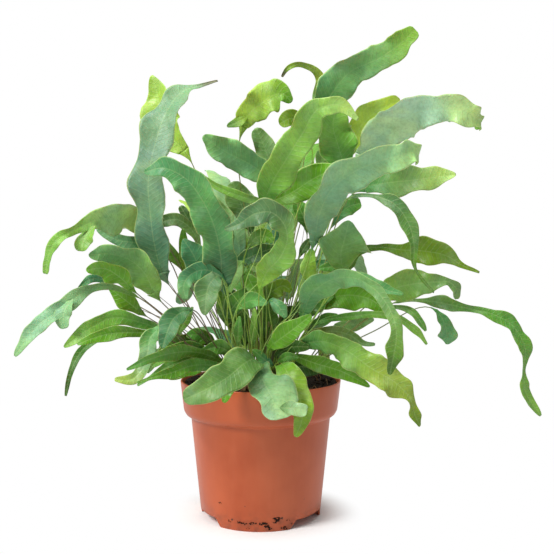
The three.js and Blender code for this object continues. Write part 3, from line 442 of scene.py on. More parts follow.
# Smaller leaves: tints, sideways bend of the stalk, and points as above
YOUNG_LEAVES = [
    ("deep dark", 0, [[-18.5, 187.5, -20, 5], [-8, 192.5, -24, 12], [2.5, 197, -28, 11],
     [13, 200.5, -30, 2]]),
    ("teal teal aqua", -6, [[-30, 178, -42, 5], [-43, 183, -46, 11], [-53, 179, -48, 13],
     [-58, 171, -48, 11], [-56, 161, -47, 2]]),
    ("sage meadow", 5, [[-14.8, 188, -26, 5], [-20, 178, -30, 11], [-24, 166, -31, 2]]),
    ("moss olive", 0, [[-8.8, 187, -10, 5], [-1, 184, -12, 10], [7, 180, -12, 2]]),
    ("leaf spring", 6, [[-11, 180, -26, 5], [-5, 169, -30, 12], [3, 156, -32, 2]]),
    ("dark green", -5, [[-26, 147, -16, 5], [-20, 156, -20, 15], [-13, 163, -22, 14], [-4, 164, -22, 3]]),
    ("dark moss", 0, [[-24, 142, -6, 5], [-28, 158, -8, 12], [-29, 172, -8, 2]]),
    ("moss olive", 6, [[1, 160, -14, 5], [9, 167, -18, 14], [17, 171, -20, 11], [23, 167, -20, 2]]),
    ("teal jade", 4, [[8, 160, -34, 4], [13, 156, -38, 10], [19, 147, -39, 2]]),
    ("dark green", 0, [[29, 144, -8, 6], [35, 155, -10, 18], [43, 163, -12, 19], [54, 168, -12, 3]]),
    ("dark green", -4, [[64.7, 189, -16, 4], [56, 186, -18, 9], [44, 184, -18, 2]]),
    ("olive straw", 0, [[-41, 182, -14, 4], [-46, 187, -16, 9], [-50, 194, -16, 2]]),
    ("moss leaf", -5, [[-8, 202, -30, 4], [-2, 208, -34, 12], [6, 207, -36, 9], [9, 204, -36, 2]]),
    ("moss green", 0, [[-21.5, 119, -30, 5], [-32, 125, -34, 11], [-44, 122, -36, 2]]),
    ("dark dark", 5, [[12, 118, -30, 5], [24, 125, -34, 11], [37, 125, -36, 2]]),
    ("dark moss", 0, [[2, 132, -12, 6], [4, 146, -13, 17], [4, 158, -13, 3]]),
    ("dark dark", 0, [[16, 130, -4, 6], [21, 143, -4, 17], [24, 156, -4, 3]]),
    ("dark moss", 0, [[-12, 128, 2, 6], [-15, 142, 2, 16], [-14, 156, 2, 3]]),
    ("moss green", -6, [[-36, 128, -14, 4], [-45, 134, -18, 12], [-56, 134, -20, 2]]),
    ("green leaf", 0, [[-6, 104, -54, 3], [-18, 99, -62, 6], [-25, 91, -66, 9], [-28, 83, -67, 2]]),
    ("dark green", 0, [[36, 139, -8, 4], [46, 145, -10, 9], [58, 149, -11, 2]]),
    ("dark dark", 0, [[30, 195, -18, 3], [33, 200, -19, 7], [37, 206, -19, 2]]),
    ("green leaf", 0, [[-37, 111, -36, 4], [-50, 110, -44, 11], [-61, 106, -50, 11], [-70, 101.5, -54, 2]]),
    ("moss green", 0, [[-42, 118, -30, 4], [-57, 115, -38, 11], [-70, 110, -44, 9], [-82, 102.5, -48, 3],
     [-93, 96, -50, 1.5]]),
    ("green leaf", 0, [[-40, 122, -24, 4], [-56, 123.5, -32, 12], [-72, 118.5, -38, 10],
     [-82, 110, -42, 1.5]]),
    ("dark moss", -4, [[-38, 127, -12, 4], [-55, 129.5, -16, 13], [-69, 125, -20, 10], [-79, 117, -22, 2]]),
    ("dark dark", 0, [[18, 111, -8, 6], [32, 110, -12, 14], [47, 107, -15, 2]]),
    ("dark dark", 0, [[9, 105, 6, 6], [9, 119, 8, 18], [7, 134, 8, 3]]),
]

# Thin stalks between the others: foot [x, y], then [across, up, depth] up to the leaf that hides their end
STEMS = {
    (148, 182, 92): [
        [[-9, -17], [-12, 150, -50], [-11, 174.6, -56], [-3.5, 191.9, -60], [7, 224, -70]],
        [[3, -21], [-4.3, 140.1, -50], [-15.5, 157.4, -55], [-31, 176, -61]],
        [[-5, -21], [-5, 139.4, -52], [-2, 149.1, -56], [5.5, 161.9, -60], [11, 184, -66]],
        [[-17, -14], [-21.6, 134.9, -50], [-20.8, 143.9, -54], [-17.8, 154.4, -58], [-11, 164.1, -60],
         [-2, 173.1, -62], [4, 181, -68]],
        [[1, -22], [10.7, 135.6, -50], [22, 149.1, -50], [36, 168, -46]],
        [[3, -22], [13.5, 135.6, -48], [25, 149.1, -47], [38, 172, -44]],
        [[12, -14], [22, 124, -34], [36, 136, -32], [50, 158, -9]],
        [[-2, -22], [4, 128, -50], [14, 142, -52], [28, 152, -55]]],
    (88, 74, 50): [
        [[-17, -6], [-52, 148, -30], [-74, 182, -12]],
        [[-16, -9], [-36, 142, -34], [-46, 184, -31]],
        [[-18, -8], [-50, 140, -22], [-82, 168, -21]],
        [[-19, -11], [-46, 134, -40], [-64, 147, -66]],
        [[-15, -12], [-38, 150, -28], [-57, 190, -8]],
        [[-20, -4], [-60, 140, -8], [-92, 154, -3]],
        [[-12, -8], [-33, 150, -20], [-49, 207, 4]],
        [[-13, -2], [-40, 160, 0], [-66, 196, 6]],
        [[-14, -10], [-30, 136, -30], [-36, 170, -27]],
        [[14, -8], [24, 140, -20], [36, 168, -28]],
        [[12, -4], [22, 150, -14], [33, 216, 9]]],
}

# Tufts of the back. Each has three blades: a turn from the tuft's azimuth, and points as [distance from
# the axis, height, width], which rise and reach then stretch.
BACK_TUFTS = [
    dict(azimuth=52, rise=0.98, reach=0.92, slot="green",
         tints=["green leaf", "glaucous frost", "moss olive"]),
    dict(azimuth=72, rise=0.9, reach=1.05, slot="glaucous",
         tints=["teal glaucous", "sage lime", "green leaf"]),
    dict(azimuth=92, rise=0.74, reach=0.94, slot="lime",
         tints=["leaf lime", "teal glaucous", "meadow lime"]),
    dict(azimuth=114, rise=0.87, reach=1.03, slot="glaucous",
         tints=["glaucous mint", "green leaf", "teal sage"]),
    dict(azimuth=132, rise=0.73, reach=0.98, slot="green",
         tints=["meadow lime", "teal glaucous", "moss green"]),
]
BACK_TIERS = [
    (4, [[34, 205, 9], [44, 235, 19], [58, 262, 21], [76, 283, 17], [96, 292, 2]]),
    (-8, [[46, 168, 8], [68, 192, 21], [94, 203, 24], [118, 194, 17], [136, 170, 2]]),
    (9, [[42, 126, 7], [66, 138, 19], [92, 137, 22], [114, 120, 15], [128, 92, 2]]),
]
BACK_FOOT = 18
BACK_LEAN = -0.3

# Loose roots on the soil: x, y, direction in degrees, length and height of the loop
ROOTS = [
    (40, 22, 300, 12, 6), (46, 16, 250, 11, 7), (36, 30, 330, 13, 5), (44, 6, 200, 12, 4),
    (38, -14, 290, 10, 3), (-44, 12, 250, 11, 3), (-38, 26, 200, 12, 4), (-46, -8, 280, 9, 3),
    (8, 44, 350, 12, 5), (-14, 46, 190, 11, 4), (24, 40, 320, 13, 5), (-30, -34, 330, 10, 3),
    (12, -46, 20, 10, 2), (34, -32, 60, 9, 3), (50, -4, 100, 9, 4),
]

# Soil spilt on the foot of the pot: across, height and size
SPILT = [
    (-28, 18.5, 0.6), (-21.5, 6.5, 0.8), (-14, 6.6, 1.0), (-12, 6.2, 1.0), (-9.5, 5.6, 0.8),
    (-5.5, 6.2, 0.9), (-3.5, 6.2, 0.9), (1, 6, 1.2), (3.5, 6.3, 1.6), (5, 4.4, 1.4), (7.5, 2.6, 1.1),
    (10.5, 9.8, 1.3), (12.5, 8, 1.5), (11, 7, 1.1), (13.5, 9.4, 0.9), (16.5, 1.8, 1.1), (18, 1.9, 0.9),
    (19.8, 7.6, 0.6), (-8, 2.5, 0.5), (22.5, 4, 0.6),
]

# A lump's twenty faces, and a scale's seven
ICO = (1 + 5 ** 0.5) / 2
ICO_POINTS = np.array([
    (-1, ICO, 0), (1, ICO, 0), (-1, -ICO, 0), (1, -ICO, 0), (0, -1, ICO), (0, 1, ICO), (0, -1, -ICO),
    (0, 1, -ICO), (ICO, 0, -1), (ICO, 0, 1), (-ICO, 0, -1), (-ICO, 0, 1)])
ICO_FACES = [
    (0, 11, 5), (0, 5, 1), (0, 1, 7), (0, 7, 10), (0, 10, 11), (1, 5, 9), (5, 11, 4), (11, 10, 2),
    (10, 7, 6), (7, 1, 8), (3, 9, 4), (3, 4, 2), (3, 2, 6), (3, 6, 8), (3, 8, 9), (4, 9, 5), (2, 4, 11),
    (6, 2, 10), (8, 6, 7), (9, 8, 1),
]
SCALE_FACES = [(0, 3, 5, 2), (2, 5, 4, 1), (0, 1, 4, 3), (3, 6, 5), (5, 6, 4), (3, 4, 6), (0, 2, 1)]


# Numbers, vectors and colours
def seeded(seed):
    """Draws from 0 to 1 that are the same each time, as in the frame's source."""
    state = seed
    while True:
        state = (state * 16807) % 2147483647
        yield state / 2147483647


def pick(draw, low, high):
    """A draw between two numbers or two colours."""
    return low + (high - low) * next(draw)


def unit(vector):
    return vector / np.linalg.norm(vector)


def units(rows):
    return rows / np.linalg.norm(rows, axis=1)[:, None]


def polar(radius, angle):
    return radius * math.cos(angle), radius * math.sin(angle)


def turns(count):
    """The angles of so many even steps round the axis."""
    return [2 * math.pi * k / count for k in range(count)]


def smooth(share):
    share = np.clip(share, 0, 1)
    return share * share * (3 - 2 * share)


def blend(low, high, share):
    return low * (1 - share) + high * share


def interpolate(values, t):
    """Rows of values at fractional places t."""
    i = np.clip(np.floor(t).astype(int), 0, len(values) - 2)
    return blend(values[i], values[i + 1], (t - i)[:, None])


def linear(tint):
    """Linear colour of an sRGB colour from 0 to 255."""
    return ((np.array(tint) / 255 + 0.055) / 1.055) ** 2.4


def rgba(red, green, blue):
    return (*linear((red, green, blue)), 1.0)


def bare(tint):
    """Linear colour of a surface that looks like this tint under its own pale gloss."""
    return np.maximum(linear(tint) * GLOSS_GAIN - GLOSS_HAZE, DARKEST)


def tint_along(names, share):
    """Linear colour at each share of a blade's length, through its named tints."""
    stops = np.array([bare(TINTS[name]) for name in names.split()])
    place = share * (len(stops) - 1)
    i = np.minimum(place.astype(int), len(stops) - 2)
    return blend(stops[i], stops[i + 1], smooth(place - i)[:, None])


# Frond lines, as in the frame's source
def on_sight_line(point):
    """A point of the picture's plane, moved along its line of sight to its depth."""
    across, up, depth, width = point
    share = (EYE[1] - depth) / EYE[1]
    x, z = EYE[0] + (across - EYE[0]) * share, EYE[2] + (up - EYE[2]) * share
    return np.array([x, depth, z, width * share])


def through_knots(knots, t):
    """Values at place t on a smooth line through the knots."""
    last = len(knots) - 1
    i = min(int(t), last - 1)
    u = t - i
    span = [np.linalg.norm(knots[k + 1][:3] - knots[k][:3]) for k in range(last)]

    def rise(k):
        return (knots[k + 1] - knots[k]) / span[k]

    def slope(k):
        if k in (0, last):
            return rise(min(k, last - 1))
        return (rise(k - 1) * span[k] + rise(k) * span[k - 1]) / (span[k - 1] + span[k])

    stay = (1 + 2 * u) * (1 - u) ** 2
    slopes = u * (1 - u) ** 2 * span[i] * slope(i) + u * u * (u - 1) * span[i] * slope(i + 1)
    return stay * knots[i] + (1 - stay) * knots[i + 1] + slopes


def foot_of(neck, given):
    """The foot that a frond names, or else one on the line from its neck to a point under the crown."""
    if given is not None:
        low = math.hypot(*given) > CROWN_SHOULDER
        return np.array([given[0], given[1], LOW_FOOT_Z if low else FOOT_Z, STIPE])
    share = (FOOT_Z - APEX_Z) / (neck[2] - APEX_Z)
    limit = min(1, FOOT_REACH / (math.hypot(neck[0], neck[1]) * share))
    return np.array([neck[0] * share * limit, neck[1] * share * limit, FOOT_Z, STIPE])


def stipe_knots(foot, neck):
    """Foot and middle of a stalk, which bows upwards."""
    middle = foot + (neck - foot) * 0.5
    middle[2] += BOW * math.hypot(neck[0] - foot[0], neck[1] - foot[1])
    middle[3] = STIPE
    return [foot, middle]


def square(normal, along):
    return unit(normal - along * normal.dot(along))


def frames(knots, neck_index, facing, widths_show):
    """Places along a frond: points, normals, sides and true widths."""
    total = (len(knots) - 1) * FRAME_STEPS
    rows = np.array([through_knots(knots, i / FRAME_STEPS) for i in range(total + 1)])
    points = rows[:, :3]
    widths = rows[:, 3].copy()
    along = np.array([unit(points[min(i + 1, total)] - points[max(i - 1, 0)]) for i in range(total + 1)])
    normals = np.zeros_like(points)
    start = neck_index * FRAME_STEPS
    normals[start] = square(facing, along[start])
    for i in range(start + 1, total + 1):
        normals[i] = square(normals[i - 1] + FACING_PULL * facing, along[i])
    for i in range(start - 1, -1, -1):
        normals[i] = square(normals[i + 1], along[i])
    if widths_show:
        seen = np.maximum(np.abs(normals[:, 1]), LEAST_SEEN)
        widths *= np.minimum(WIDEN_MOST, np.sqrt(1 - along[:, 1] ** 2) / seen)
    return points, normals, np.cross(along, normals), widths


def lay_out(places, at):
    """Centres, normals and sides at fractional places along a frond."""
    return [interpolate(values, at) for values in places[:3]]


def facing_of(knots):
    """The way a blade faces: to the front, a little up, and outwards at the sides."""
    middle = knots[len(knots) // 2]
    away = max(-1, min(1, middle[0] / 100)) * TURN_AWAY
    return unit(np.array([away, -1, TURN_UP]))


# Meshes
def mesh_object(name, points, faces, material):
    """A new object of these points, in millimetres."""
    mesh = bpy.data.meshes.new(name)
    mesh.from_pydata(np.asarray(points, dtype=float) * MM, [], faces)
    mesh.materials.append(material)
    piece = bpy.data.objects.new(name, mesh)
    bpy.context.scene.collection.objects.link(piece)
    return piece


class Patchwork:
    """Gathers vertices, faces and vertex colours, and makes one object of them."""

    def __init__(self):
        self.points = []
        self.faces = []
        self.tints = []
        self.leaf = []
        self.count = 0

    def add(self, points, faces, tints, leaf=FAR_FROM_RIB):
        """Points are in millimetres. Tints are linear colours, and leaf is (mm from the rib, mm along, share
        towards the edge), each either one for every point or one for them all."""
        points = np.asarray(points)
        self.points.append(points)
        self.faces += [[self.count + k for k in face] for face in faces]
        self.tints.append(np.broadcast_to(tints, points.shape))
        self.leaf.append(np.broadcast_to(leaf, points.shape))
        self.count += len(points)

    def build(self, name, material):
        piece = mesh_object(name, np.vstack(self.points), self.faces, material)
        rgb = np.vstack(self.tints)
        tint = piece.data.attributes.new("tint", "FLOAT_COLOR", "POINT")
        tint.data.foreach_set("color", np.hstack([rgb, np.ones((len(rgb), 1))]).ravel())
        leaf = piece.data.attributes.new("leaf", "FLOAT_VECTOR", "POINT")
        leaf.data.foreach_set("vector", np.vstack(self.leaf).ravel())
        piece.data.shade_smooth()
        return piece


def tube_faces(rows, spokes, first=0):
    """Quads between rows of spokes, each row closed round its axis, and the two ends."""
    faces = []
    for i in range(rows - 1):
        for k in range(spokes):
            a = first + i * spokes + k
            b = first + i * spokes + (k + 1) % spokes
            faces.append((a, b, b + spokes, a + spokes))
    last = first + (rows - 1) * spokes
    return faces + [tuple(range(first, first + spokes))[::-1], tuple(range(last, last + spokes))]


def tube(centre, side, up, radius, spokes):
    """Points and faces of a closed tube along a line."""
    rings = [centre + (side * math.cos(a) + up * math.sin(a)) * radius[:, None] for a in turns(spokes)]
    return np.stack(rings, axis=1).reshape(-1, 3), tube_faces(len(centre), spokes)


def strand(work, points, radius, tint, steps=6):
    """A thin root, shoot or stalk along a few points."""
    knots = np.column_stack([np.array(points, dtype=float), np.ones(len(points))])
    last = len(knots) - 1
    rows = np.array([through_knots(knots, t) for t in np.linspace(0, last, steps * last + 1)])[:, :3]
    along = units(np.gradient(rows, axis=0))
    side = units(np.cross(along, STRAND_ASIDE))
    size = radius * np.linspace(1, STRAND_TAPER, len(rows))
    work.add(*tube(rows, side, np.cross(side, along), size, STRAND_SIDES), linear(tint))


# Fronds
def tip_round(widths, t, last, look):
    """Rounds the last reach of a blade, which would else run out in a straight point."""
    u = np.clip(t - (last - 1), 0, 1)
    before = widths[(last - 1) * FRAME_STEPS]
    strength = look["tip"] or (ROUND_TIP if look["end"] >= 2 else POINTED_TIP)
    return strength * max(before - look["end"], 0) * u * u * np.sqrt(1 - u * u)


def ripples(draw, lengths, turned=True):
    """A sum of waves of the given lengths, with drawn phases and, if turned, drawn directions."""
    waves = [(length, next(draw) * 2 * math.pi, next(draw) * math.pi if turned else 0) for length in lengths]
    whole = sum(lengths) * WAVES_SHARE

    def value(x, y=0):
        total = 0
        for length, phase, turn in waves:
            way = x * math.cos(turn) + y * math.sin(turn)
            total = total + length / whole * np.sin(2 * math.pi * way / length + phase)
        return total

    return value


def margin(sign, t, half, distance, calm, look, draw):
    """One side of a blade: its reach from the rib, its slow rise with fold and waves, and its fine ruffle."""
    scallop, lifting = WAVE_SHIFTS[sign]

    def wave(shift):
        return np.sin(math.pi * (WAVE_RATE * t + (look["phase"] + shift)))

    nibble = NIBBLE * calm * ripples(draw, MARGIN_LENGTHS, False)(distance)
    reach = half * (1 + SCALLOP * wave(scallop) + nibble)
    for where, side_sign, high, wide in look["points"]:
        if side_sign == sign:
            off = np.abs(distance / distance[-1] - where) / wide
            reach = reach + high * np.clip(1 - off, 0, 1) ** POINT_SHAPE
    ruffle = RUFFLE * calm * half * ripples(draw, MARGIN_LENGTHS, False)(distance)
    slow = look["fold"] * half + np.minimum(WAVE_MOST, WAVE_HEIGHT * half) * wave(lifting)
    return reach, slow, ruffle


def blade_rows(places, neck_index, look):
    """Stations along a blade: place, centre, normal, side, half width and distance from the neck."""
    last = (len(places[0]) - 1) // FRAME_STEPS
    t = np.linspace(neck_index, last, (last - neck_index) * STATIONS_PER_KNOT + 1)
    centre, normal, side = lay_out(places, t * FRAME_STEPS)
    width = interpolate(places[3][:, None], t * FRAME_STEPS)[:, 0]
    width = np.maximum(width + tip_round(places[3], t, last, look), LEAST_WIDTH)
    distance = np.concatenate([[0], np.cumsum(np.linalg.norm(np.diff(centre, axis=0), axis=1))])
    if look["lobe"]:
        grown = smooth(distance / LOBE_ROOT)
        width = np.maximum(width * np.sqrt(grown), LEAST_WIDTH)
        centre = centre + np.outer(1 - grown, (0, LOBE_SINK, 0))
    return t, centre, units(normal), units(side), width / 2, distance


def blade_colours(distance, look):
    """Linear colour at each station, which may turn dry towards the tip."""
    colours = tint_along(look["tints"], distance / max(distance[-1], 1e-6)) * (1 + look["shade"])
    if look["dry"]:
        dried = smooth((1.5 * look["dry"] - (distance[-1] - distance)) / look["dry"])[:, None]
        colours = blend(colours, bare(TINTS[look["end_tint"]]), dried)
    return colours


def blade_patch(work, places, neck_index, look, draw):
    """The leafy part of a frond: a thin sheet with a rib, a fold, slow waves and a finely ruffled margin."""
    t, centre, normal, side, half, distance = blade_rows(places, neck_index, look)
    from_end = distance[-1] - distance
    calm = smooth(distance / CALM_REACH) * smooth(from_end / CALM_REACH) * look["wavy"]
    margins = {sign: margin(sign, t, half, distance, calm, look, draw) for sign in (-1, 1)}
    crinkle = ripples(draw, CRINKLE_LENGTHS)
    grid = []
    leaf = []
    for face in (1, -1):
        for s in np.linspace(-1, 1, COLUMNS):
            share = abs(s)
            reach, slow, ruffle = margins[-1 if s < 0 else 1]
            out = reach * s
            near = np.exp(-(out / RIB_REACH) ** 2)
            relief = -GROOVE * near if face > 0 else -RIB * near
            thick = blend(MID_HALF, EDGE_HALF, share)
            up = slow * share ** SWELL + ruffle * share ** RUFFLE_SHAPE + face * thick + relief
            up = up + (CRINKLE * crinkle(distance, out) * np.minimum(half / CRINKLE_FADE, 1)
                       * share ** CRINKLE_SHAPE * smooth(from_end / CRINKLE_FADE))
            grid.append(centre + side * out[:, None] + normal * up[:, None])
            leaf.append(np.column_stack([out, distance, np.full(len(t), share * face)]))
    colours = np.repeat(blade_colours(distance, look), 2 * COLUMNS, axis=0)
    work.add(np.stack(grid, axis=1).reshape(-1, 3), blade_faces(len(t)), colours,
             np.stack(leaf, axis=1).reshape(-1, 3))


def blade_faces(count):
    row = 2 * COLUMNS
    faces = []
    for a in range(0, (count - 1) * row, row):
        b = a + row
        for k in range(COLUMNS - 1):
            faces.append((a + k, b + k, b + k + 1, a + k + 1))
            faces.append((a + COLUMNS + k, a + COLUMNS + k + 1, b + COLUMNS + k + 1, b + COLUMNS + k))
        for k, flip in ((0, True), (COLUMNS - 1, False)):
            strip = (a + k, b + k, b + COLUMNS + k, a + COLUMNS + k)
            faces.append(strip[::-1] if flip else strip)
    for a, flip in ((0, True), ((count - 1) * row, False)):
        for k in range(COLUMNS - 1):
            strip = (a + k, a + k + 1, a + COLUMNS + k + 1, a + COLUMNS + k)
            faces.append(strip if flip else strip[::-1])
    return faces


def neck_tint(look):
    return bare(TINTS[look["tints"].split()[0]])


def stipe_patch(work, places, look):
    """The round stalk, from its foot in the crown, or its fork, into the blade's base."""
    t = np.linspace(0, NECK + STIPE_OVERLAP, STIPE_STATIONS)
    centre, normal, side = lay_out(places, t * FRAME_STEPS)
    share = t / t[-1]
    radius = blend(STIPE_ROOT, STIPE_NECK, share)
    radius[-1] = STIPE_POINT
    low, middle = (bare(colour) for colour in look["stalk"])
    colours = blend(low, middle, smooth(share / STALK_LOW)[:, None])
    high = smooth((share - STALK_HIGH) / (1 - STALK_HIGH))[:, None]
    colours = blend(colours, neck_tint(look), high)
    work.add(*tube(centre, side, normal, radius, STIPE_SIDES), np.repeat(colours, STIPE_SIDES, axis=0))


def wing_patch(work, places, look):
    """The narrow wings that run from the blade's base down its stalk."""
    neck = NECK * FRAME_STEPS
    blade = places[3][neck] / 2
    step = np.linalg.norm(places[0][neck] - places[0][neck - 1])
    reach = min(WING_MOST, WING_REACH * blade / max(step, 0.1))
    at = np.clip(np.linspace(neck - WING_LEAST - reach, neck, WING_STATIONS), 0, neck)
    centre, normal, side = lay_out(places, at)
    root = STIPE_NECK * WING_ROOT
    half = root + (blade - root) * np.linspace(0, 1, WING_STATIONS) ** WING_SHAPE
    stack = []
    for face in (1, -1):
        for s in (-1, 0, 1):
            lift = look["fold"] * half * abs(s) + face * (EDGE_HALF if s else MID_HALF)
            stack.append(centre + side * (half * s)[:, None] + normal * lift[:, None])
    order = (0, 1, 2, 5, 4, 3)
    faces = [(6 * i + a, 6 * i + a + 6, 6 * i + b + 6, 6 * i + b)
             for i in range(WING_STATIONS - 1) for a, b in zip(order, order[1:] + order[:1])]
    faces += [order, tuple(6 * (WING_STATIONS - 1) + k for k in order[::-1])]
    colour = neck_tint(look) * (1 + look["shade"])
    work.add(np.stack(stack, axis=1).reshape(-1, 3), faces, colour, WING_FROM_RIB)


def whole_frond(work, knots, facing, look, draw):
    """Blade, stalk and wings on knots whose first is the foot and whose third is the blade's neck."""
    places = frames(knots, NECK, facing, look["widths_show"])
    blade_patch(work, places, NECK, look, draw)
    stipe_patch(work, places, look)
    wing_patch(work, places, look)


def tuft(blades, facings, look, draw, lobes=()):
    """One node's fronds, which rise from one foot."""
    work = Patchwork()
    foot = foot_of(blades[0][0], look["foot"])
    first = stipe_knots(foot, blades[0][0])
    fork = foot + (first[1] - foot) * (FORK_Z - foot[2]) / (first[1][2] - foot[2])
    for i, knots in enumerate(blades):
        start = first if i == 0 else stipe_knots(fork, knots[0])
        own = dict(look, phase=look["phase"] + i * PHASE_STEP, tints=look["tints"][i], end=knots[-1][3],
                   shade=SHADE_SPREAD * (next(draw) - 0.5), dry=look["dry"] if i == 0 else 0)
        whole_frond(work, start + knots, facings[i], own, draw)
    for knots in lobes:
        own = dict(look, tints=" ".join(look["tints"][0].split()[-2:]), end=knots[-1][3], shade=LOBE_SHADE,
                   dry=0, points=(), lobe=True)
        blade_patch(work, frames(knots, 0, facings[0], look["widths_show"]), 0, own, draw)
    return work


def front_tuft(node, phase, draw):
    blades, lobes = ([[on_sight_line(point) for point in points] for points in node[part]]
                     for part in ("blades", "lobes"))
    neck = blades[0][0]
    stalk = STALKS["side" if neck[0] < -40 else "middle" if neck[0] > 70 or neck[1] > 0 else "front"]
    look = dict(node, phase=phase, stalk=stalk)
    return tuft(blades, [facing_of(knots) for knots in blades], look, draw, lobes)


def back_tuft(back, phase, draw):
    blades = []
    facings = []
    for swing, points in BACK_TIERS:
        way = np.array(polar(1, math.radians(back["azimuth"] + swing)))
        blades.append([])
        for radius, z, width in points:
            high = FOOT_Z + (z - FOOT_Z) * back["rise"]
            blades[-1].append(np.array([*(way * radius * back["reach"]), high, width]))
        facings.append(unit(np.array([*(BACK_LEAN * way), 1])))
    look = dict(LOOK, phase=phase, fold=BACK_FOLD, widths_show=False, tints=back["tints"], wavy=BACK_WAVY,
                foot=polar(BACK_FOOT, math.radians(back["azimuth"])), stalk=STALKS["side"])
    return tuft(blades, facings, look, draw)


def young_leaves(draw):
    """The smaller leaves between the stalks and over the rim, each on a stalk of its own."""
    work = Patchwork()
    for tints, bend, points in YOUNG_LEAVES:
        knots = [on_sight_line(point) for point in points]
        start = stipe_knots(foot_of(knots[0], None), knots[0])
        start[1][0] += bend
        own = dict(LOOK, tints=tints, stalk=STALKS["front"], end=knots[-1][3], phase=next(draw) * 2,
                   shade=SHADE_SPREAD * (next(draw) - 0.5))
        whole_frond(work, start + knots, facing_of(knots), own, draw)
    return work


def fiddlehead(work, draw):
    """A thin shoot with a curled tip, somewhere on the crown."""
    angle = 2 * math.pi * next(draw)
    radius = SHOOT_CIRCLE * next(draw) ** 0.5
    foot = crown_point((radius / CROWN_RADIUS) ** (1 / CROWN_SHAPE), angle)
    foot[2] -= SUNK
    tall = pick(draw, *SHOOT_HEIGHTS)
    lean = pick(draw, *SHOOT_LEANS) * radius / SHOOT_CIRCLE
    way = np.array([*polar(1, angle), 0])
    turn = 1 if next(draw) > 0.5 else -1
    bow = way * lean * tall
    spine = [foot + bow * s * s + UP * tall * s for s in np.linspace(0, 1, SHOOT_STATIONS)]
    curl = pick(draw, *SHOOT_CURLS)
    middle = spine[-1] + way * curl * turn
    for k in range(1, CURL_STATIONS + 1):
        across, high = polar(1, math.pi - CURL_STEP * k)
        spine.append(middle + (way * across * turn + UP * high) * (curl * (1 - CURL_SHRINK * k)))
    strand(work, spine, SHOOT_RADIUS, pick(draw, *SHOOT_TINTS), 2)


def young_shoots(draw):
    """Fiddleheads, close together over the crown, and single thin stalks between the fronds."""
    work = Patchwork()
    for _ in range(SHOOTS):
        fiddlehead(work, draw)
    for tint, stems in STEMS.items():
        for (x, y), *points in stems:
            knots = [on_sight_line([*point, 0])[:3] for point in points]
            strand(work, [np.array([x, y, FOOT_Z])] + knots, STEM, tint)
    return work


# Pot
def pot_angles():
    """Evenly spaced angles, with the corners of the notches among them."""
    corners = [notch + side * (NOTCH_HALF + flare) for notch in NOTCHES for side in (-1, 1)
               for flare in (-NOTCH_FLARE, 0, NOTCH_FLARE)]
    even = [360 * i / POT_SEGMENTS for i in range(POT_SEGMENTS)]
    even = [angle for angle in even if min(abs(angle - corner) for corner in corners) > LEAST_ANGLE]
    return sorted(even + corners)


def ring_low(angle):
    """Height of the foot ring's lower edge, which the notches lift with slanted sides."""
    off = min(abs((angle - notch + 180) % 360 - 180) for notch in NOTCHES)
    inside = (NOTCH_HALF + NOTCH_FLARE - off) / (2 * NOTCH_FLARE)
    return max(0, min(1, inside)) * (FLOOR_Z - 0.1)


def pot_profile(low):
    """Radius and height round the wall: pad, foot ring, outside, lip, inside and floor."""
    inner = BASE_RADIUS - WALL
    pad_end = PAD_RADIUS + PAD_SLOPE
    pad = [(PAD_RADIUS * share, 0) for share in (0.02, 0.5, 0.97)] + [(PAD_RADIUS, 0.25)]
    under = [(pad_end - 0.2, FLOOR_Z - 0.4), (pad_end + 0.4, FLOOR_Z), (inner - 0.4, FLOOR_Z),
             (inner, FLOOR_Z - 0.02), (inner, low + 0.05), (inner + 0.2, low),
             (BASE_RADIUS + TAPER * low - 0.25, low)]
    wall = [(BASE_RADIUS + TAPER * z, z) for z in np.linspace(low + 0.3, STEP_Z - 0.8, 9)]
    step = [(STEP_RADIUS + out, STEP_Z + up)
            for out, up in ((0.1, -0.1), (0.7, 0.45), (1.6, 0.8), (2.7, 1.1))]
    band = [(RIM_FOOT_RADIUS + out, RIM_FOOT_Z + up)
            for out, up in ((-1.7, -3.5), (-0.9, -2.2), (-0.25, -0.9), (0.03, 0.4), (1.2, 10))]
    lip = [(RIM_RADIUS - LIP_ROUND + LIP_ROUND * math.sin(a),
            POT_HEIGHT - LIP_ROUND + LIP_ROUND * math.cos(a)) for a in (1.57, 1.1, 0.7, 0.3, 0)]
    edge = [(RIM_RADIUS - WALL + EDGE_ROUND - EDGE_ROUND * math.sin(a),
             POT_HEIGHT - EDGE_ROUND + EDGE_ROUND * math.cos(a)) for a in (0, 0.8, 1.57)]
    inside = [(RIM_FOOT_RADIUS - WALL, RIM_FOOT_Z), (STEP_RADIUS - WALL, STEP_Z),
              (inner + TAPER * (FLOOR_Z + WALL), FLOOR_Z + WALL), (pad_end - WALL, FLOOR_Z + WALL),
              (PAD_RADIUS - WALL, WALL), (0.3, WALL)]
    return pad + under + wall + step + band + lip + edge + inside


def drain_cutter(material):
    """A bar for each drain hole, turned so that none of its corners lies on a spoke of the pot."""
    points = []
    faces = []
    for x, y in (polar(DRAIN_CIRCLE, angle) for angle in turns(DRAIN_HOLES)):
        faces += tube_faces(2, DRAIN_SIDES, len(points))
        for z in (FLOOR_Z - 3, FLOOR_Z + 4):
            for k in range(DRAIN_SIDES):
                across, back = polar(DRAIN_RADIUS, 2 * math.pi * (k + DRAIN_TURN) / DRAIN_SIDES)
                points.append((x + across, y + back, z))
    return mesh_object("drain_cutter", points, faces, material)


